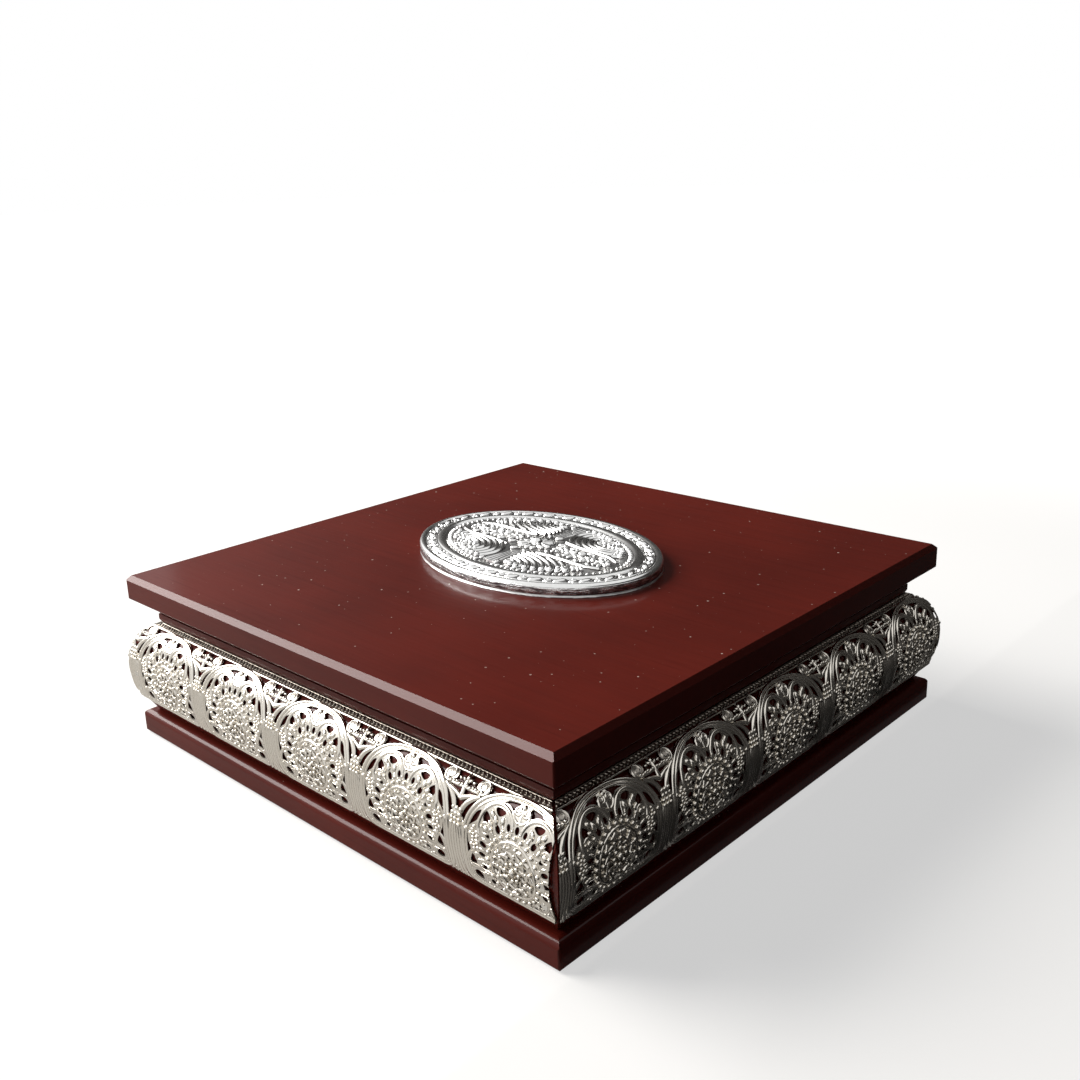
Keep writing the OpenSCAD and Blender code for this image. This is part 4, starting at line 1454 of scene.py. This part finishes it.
@dataclass
class VelvetPad:
    """A card padded and covered in velvet, filling the place of a CAD node.

    It is narrower by its waist at the waist's height, a share of the thickness from the card's side.
    The card's top is a share too, from the middle of the thickness.
    """

    node: str
    body: Body
    up: int = 1
    cells: int = 44
    crown: float = 1.4
    fill: float = 0.55
    rounding: float = 6.0
    waist: float = 0.35
    waist_height: float = 0.35
    card_top: float = -0.2
    pressure: float = 4.0
    growth: float = 0.03
    trial_scale: float = 0.01
    trial_frames: int = 20
    stiffness: float = 3.2

    def build(self, material: bpy.types.Material) -> bpy.types.Object:
        """Builds the pad.

        Args:
            material: The velvet.

        Returns:
            The piece.
        """
        low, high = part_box(self.node)
        low, high = low / MM, high / MM
        size, middle = high - low, (low + high) / 2
        thin = min(range(3), key=lambda i: size[i])
        flat = [i for i in range(3) if i != thin]
        bm = self._slab(size, thin)
        swell = self._simulated(bm, size, thin)
        for v, share in zip(bm.verts, swell):
            top = v.co[thin] * self.up + 0.5
            v.co[thin] -= self.up * top * self.crown * (1 - share) / size[thin]
            for i in flat:
                v.co[i] *= 1 - self.waist / size[i] * (1 - abs(2 * (top - self.waist_height)))
        bmesh.ops.scale(bm, vec=size, verts=bm.verts)
        bmesh.ops.translate(bm, vec=middle, verts=bm.verts)
        piece = hand_over(bm, f"{self.node}_velvet", material, self.body, [self.node], sharp=70.0)
        finer = piece.modifiers.new("finer", "SUBSURF")
        finer.levels = finer.render_levels = 1
        return piece

    def _slab(self, size: Vector, thin: int) -> bmesh.types.BMesh:
        """A unit cube, cut into cells that come out square on the pad.

        Args:
            size: The pad's size.
            thin: The axis of its thickness.

        Returns:
            The cube.
        """
        bm = bmesh.new()
        bmesh.ops.create_cube(bm, size=1.0)
        for axis in range(3):
            cuts = 3 if axis == thin else max(2, round(self.cells * size[axis] / max(size)))
            along = [e for e in bm.edges if abs((e.verts[0].co - e.verts[1].co)[axis]) > 0.9]
            bmesh.ops.subdivide_edges(bm, edges=along, cuts=cuts, use_grid_fill=True)
        return bm

    def _simulated(self, bm: bmesh.types.BMesh, size: Vector, thin: int) -> list[float]:
        """Share of the crown that each vertex rises by, from a cloth simulation.

        The card's side is held, and the velvet swells under pressure from a lower start. It is
        simulated at a larger scale, and the rise levels off where the pad is full.

        Args:
            bm: The cut cube.
            size: The pad's size.
            thin: The axis of its thickness.

        Returns:
            The shares, from 0 to 1.
        """
        mesh = bpy.data.meshes.new("pad_trial")
        bm.to_mesh(mesh)
        start = size.copy()
        start[thin] -= self.crown
        mesh.transform(Matrix.Diagonal((*(start * self.trial_scale), 1.0)))
        trial = add("pad_trial", mesh)
        card = trial.vertex_groups.new(name="card")
        card.add([v.index for v in bm.verts if v.co[thin] * self.up < self.card_top], 1.0, "REPLACE")
        cloth = trial.modifiers.new("velvet", "CLOTH")
        cloth.collision_settings.use_collision = False
        settings = cloth.settings
        settings.vertex_group_mass = card.name
        settings.use_pressure = True
        settings.uniform_pressure_force = self.pressure
        settings.effector_weights.gravity = 0.0
        settings.shrink_min = -self.growth
        scene = bpy.context.scene
        for number in range(1, self.trial_frames + 1):
            scene.frame_set(number)
        swollen = trial.evaluated_get(bpy.context.evaluated_depsgraph_get()).data
        rises = [self.up * (b.co - a.co)[thin] for a, b in zip(mesh.vertices, swollen.vertices)]
        scene.frame_set(1)
        bpy.data.objects.remove(trial)
        bpy.data.meshes.remove(mesh)
        most = max(rises)
        log.info("%s: velvet rises %.1f mm before it is capped", self.node, most / self.trial_scale)
        return [math.tanh(self.stiffness * max(0.0, rise) / most) for rise in rises]


@dataclass
class Linings:
    """Velvet on the floor, the four walls and the lid, and the felt under the base."""

    velvet: Colour = (0.125, 0.012, 0.018)
    felt: Colour = (0.028, 0.045, 0.034)

    def build(self) -> None:
        """Builds the soft pieces."""
        velvet = Pile("velvet", self.velvet).build()
        VelvetPad("floor_lining", Body.BOX, up=1).build(velvet)
        VelvetPad("lid_lining", Body.LID, up=-1).build(velvet)
        for name, up in (("front", 1), ("right", -1), ("back", -1), ("left", 1)):
            VelvetPad(f"{name}_lining", Body.BOX, up=up, crown=0.8, fill=0.4, rounding=4.0).build(velvet)
        self._felt()

    def _felt(self) -> None:
        """The felt sheet that the box stands on."""
        low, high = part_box("base_felt")
        low, high = low / MM, high / MM
        size = high - low
        bm = bmesh.new()
        bmesh.ops.create_cube(bm, size=1.0)
        bmesh.ops.scale(bm, vec=size, verts=bm.verts)
        upright = [e for e in bm.edges if abs(e.verts[0].co.z - e.verts[1].co.z) > 0.5 * size.z]
        bmesh.ops.bevel(bm, geom=upright, offset=0.5, segments=4, profile=0.5, affect="EDGES", material=-1)
        level = [e for e in bm.edges if len({round(v.co.z, 3) for v in e.verts}) == 1]
        rims = [e for e in level if e.calc_face_angle(0) > 1.0]
        bmesh.ops.bevel(bm, geom=rims, offset=0.25, segments=3, profile=0.5, affect="EDGES", material=-1)
        bmesh.ops.translate(bm, vec=(low + high) / 2, verts=bm.verts)
        felt = Pile("felt", self.felt, sheen=0.3, matted=0.75).build()
        piece = hand_over(bm, "base_felt_sheet", felt, Body.BOX, ["base_felt"])


# ---------------------------------------------------------------- studio


@dataclass
class Studio:
    """Pale floor, white surround, one large soft light from the left, cards that only the object sees with
    painted shade and painted glow, and the camera.
    """

    eye: Triple = (0.1811, -0.1897, 0.1302)
    yaw: float = -0.7746
    pitch: float = 0.29031
    roll: float = -0.03573
    focal_px: float = 1155.0
    centre_px: Pair = (518.06, 516.58)
    frame_px: float = 1080.0
    sensor_mm: float = 36.0
    key_place: Triple = (-0.82, -0.34, 0.62)
    key_size: Pair = (0.85, 0.7)
    key_power: float = 25.0
    key_colour: Colour = (1.0, 0.985, 0.96)
    fill_level: float = 0.1
    floor_grey: Colour = (0.42, 0.41, 0.395)
    floor_half: float = 6.0
    floor_glow: float = 0.6
    far_glow: float = 0.6
    far: Pair = (0.2, 0.6)
    mirrored_glow: float = 0.2
    screen_radius: float = 0.85
    screen_height: float = 0.75
    screen_span: Pair = (-0.6, 2.8)
    card_place: Triple = (0.486, 0.275, 0.0006)
    card_size: Pair = (0.83, 1.25)
    # Painted shade and painted glow of the cards: their dark base colour and the colour that they emit.
    card_dark: Colour = (0.03, 0.028, 0.027)
    card_lit: Colour = (0.3, 0.29, 0.28)

    def build(self) -> None:
        """Sets up the camera first, then the light and the floor."""
        self._camera()
        self._lights()
        self._floor()
        self._cards()
        view = bpy.context.scene.view_settings
        view.view_transform = "Standard"

    def _camera(self) -> None:
        """Places the camera at the photograph's viewpoint."""
        data = bpy.data.cameras.new("camera")
        data.sensor_width = self.sensor_mm
        data.lens = self.focal_px / self.frame_px * self.sensor_mm
        data.shift_x = (self.frame_px / 2 - self.centre_px[0]) / self.frame_px
        data.shift_y = (self.centre_px[1] - self.frame_px / 2) / self.frame_px
        data.clip_start, data.clip_end = 0.01, 50.0
        level = math.cos(self.pitch)
        forward = Vector((level * math.sin(self.yaw), level * math.cos(self.yaw), -math.sin(self.pitch)))
        right = Vector((math.cos(self.yaw), -math.sin(self.yaw), 0.0))
        up = right.cross(forward)
        c, s = math.cos(self.roll), math.sin(self.roll)
        right, up = c * right + s * up, c * up - s * right
        camera = add("camera", data)
        camera.matrix_world = Matrix(
            (
                (right.x, up.x, -forward.x, self.eye[0]),
                (right.y, up.y, -forward.y, self.eye[1]),
                (right.z, up.z, -forward.z, self.eye[2]),
                (0, 0, 0, 1),
            )
        )
        bpy.context.scene.camera = camera

    def _lights(self) -> None:
        """The key light, and a dim surround that shows white behind the object."""
        data = bpy.data.lights.new("key", "AREA")
        data.shape = "RECTANGLE"
        data.size, data.size_y = self.key_size
        data.energy = self.key_power
        data.color = self.key_colour
        key = add("key", data)
        key.location = self.key_place
        key.rotation_mode = "QUATERNION"
        key.rotation_quaternion = (-Vector(self.key_place)).to_track_quat("-Z", "Y")
        world = bpy.data.worlds.new("surround")
        world.use_nodes = True
        g = Graph(world.node_tree)
        path = g.node("ShaderNodeLightPath")
        seen = (path["Is Camera Ray"] + path["Is Glossy Ray"] + path["Is Transmission Ray"]).clamped()
        strength = self.fill_level + (1.0 - self.fill_level) * seen
        back = g.node("ShaderNodeBackground", {}, {"Color": (1.0, 1.0, 1.0), "Strength": strength})
        g.node("ShaderNodeOutputWorld", {}, {"Surface": back["Background"]})
        bpy.context.scene.world = world

    def _floor(self) -> None:
        """A pale floor, which keeps the object's shadow."""
        bm = bmesh.new()
        bmesh.ops.create_grid(bm, x_segments=1, y_segments=1, size=self.floor_half)
        mesh = as_mesh(bm, "floor")
        material, g = new_graph("pale_floor")
        path = g.node("ShaderNodeLightPath")
        mirrored_rays = path["Is Glossy Ray"] + path["Is Transmission Ray"]
        seen = (path["Is Camera Ray"] + mirrored_rays * self.mirrored_glow).clamped()
        far = g.node("ShaderNodeVectorMath", {"operation": "LENGTH"}, {0: g.place()})["Value"].ramp(*self.far)
        strength = (self.floor_glow + self.far_glow * far) * seen
        diffuse = g.node("ShaderNodeBsdfDiffuse", {}, {"Color": self.floor_grey})
        glow = g.node("ShaderNodeEmission", {}, {"Color": (1.0, 1.0, 1.0), "Strength": strength})
        both = g.node("ShaderNodeAddShader", {}, {0: diffuse["BSDF"], 1: glow["Emission"]})
        g.node("ShaderNodeOutputMaterial", {}, {"Surface": both["Shader"]})
        mesh.materials.append(material)
        floor = add("floor", mesh)

    def _cards(self) -> None:
        """Dark cards for the object alone: one stands round the back, one lies on the floor at the right.
        They are painted shade in the object's reflections, and the standing one glows with painted light at
        its ends.
        """
        material, g = new_graph("painted_shade_glow_card")
        glow = g.node("ShaderNodeSeparateXYZ", {}, {"Vector": g.place()})
        # Painted light: the standing card glows strongly at its far left end and faintly towards the
        # back-left, and the object shows this as soft glow and reflections. The dark base colour is painted
        # shade in the object's reflections.
        back, left = (glow["Y"] - glow["X"]).ramp(0.8, 1.2), (glow["X"] * -1.0).ramp(0.6, 0.82)
        g.surface(
            {
                "Base Color": self.card_dark,
                "Roughness": 0.9,
                "Emission Color": g.mix(back * 0.05 + left * 0.75, (0.0, 0.0, 0.0), self.card_lit),
                "Emission Strength": 1.0,
            }
        )
        bm = bmesh.new()
        made = bmesh.ops.create_circle(bm, segments=64, radius=self.screen_radius)
        first, last = self.screen_span
        gone = [v for v in made["verts"] if not first < math.atan2(v.co.y, v.co.x) < last]
        bmesh.ops.delete(bm, geom=gone, context="VERTS")
        up = bmesh.ops.extrude_edge_only(bm, edges=bm.edges[:])["geom"]
        upper = [part for part in up if isinstance(part, bmesh.types.BMVert)]
        bmesh.ops.translate(bm, vec=(0, 0, self.screen_height), verts=upper)
        self._card("standing_card", bm, material)
        bm = bmesh.new()
        made = bmesh.ops.create_grid(bm, x_segments=1, y_segments=1, size=0.5)
        bmesh.ops.scale(bm, vec=(self.card_size[0], self.card_size[1], 1.0), verts=made["verts"])
        bmesh.ops.translate(bm, vec=self.card_place, verts=made["verts"])
        self._card("lying_card", bm, material)

    def _card(self, name: str, bm: bmesh.types.BMesh, material: bpy.types.Material) -> None:
        """Adds a card that the camera doesn't see and that casts no shadow.

        Args:
            name: Its name.
            bm: Its mesh.
            material: Its finish.
        """
        mesh = as_mesh(bm, name)
        mesh.materials.append(material)
        card = add(name, mesh)
        card.visible_camera = card.visible_shadow = False


def write_sizes() -> None:
    """Updates the view layer."""
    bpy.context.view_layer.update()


def main() -> None:
    """Builds the studio and the object's sub-assemblies in order."""
    logging.basicConfig(level=logging.INFO, format="%(name)s: %(message)s")
    Studio().build()
    Carcase().build()
    Fittings().build()
    Strips().build()
    Medallion().build()
    Linings().build()
    write_sizes()


if __name__ == "__main__":
    main()
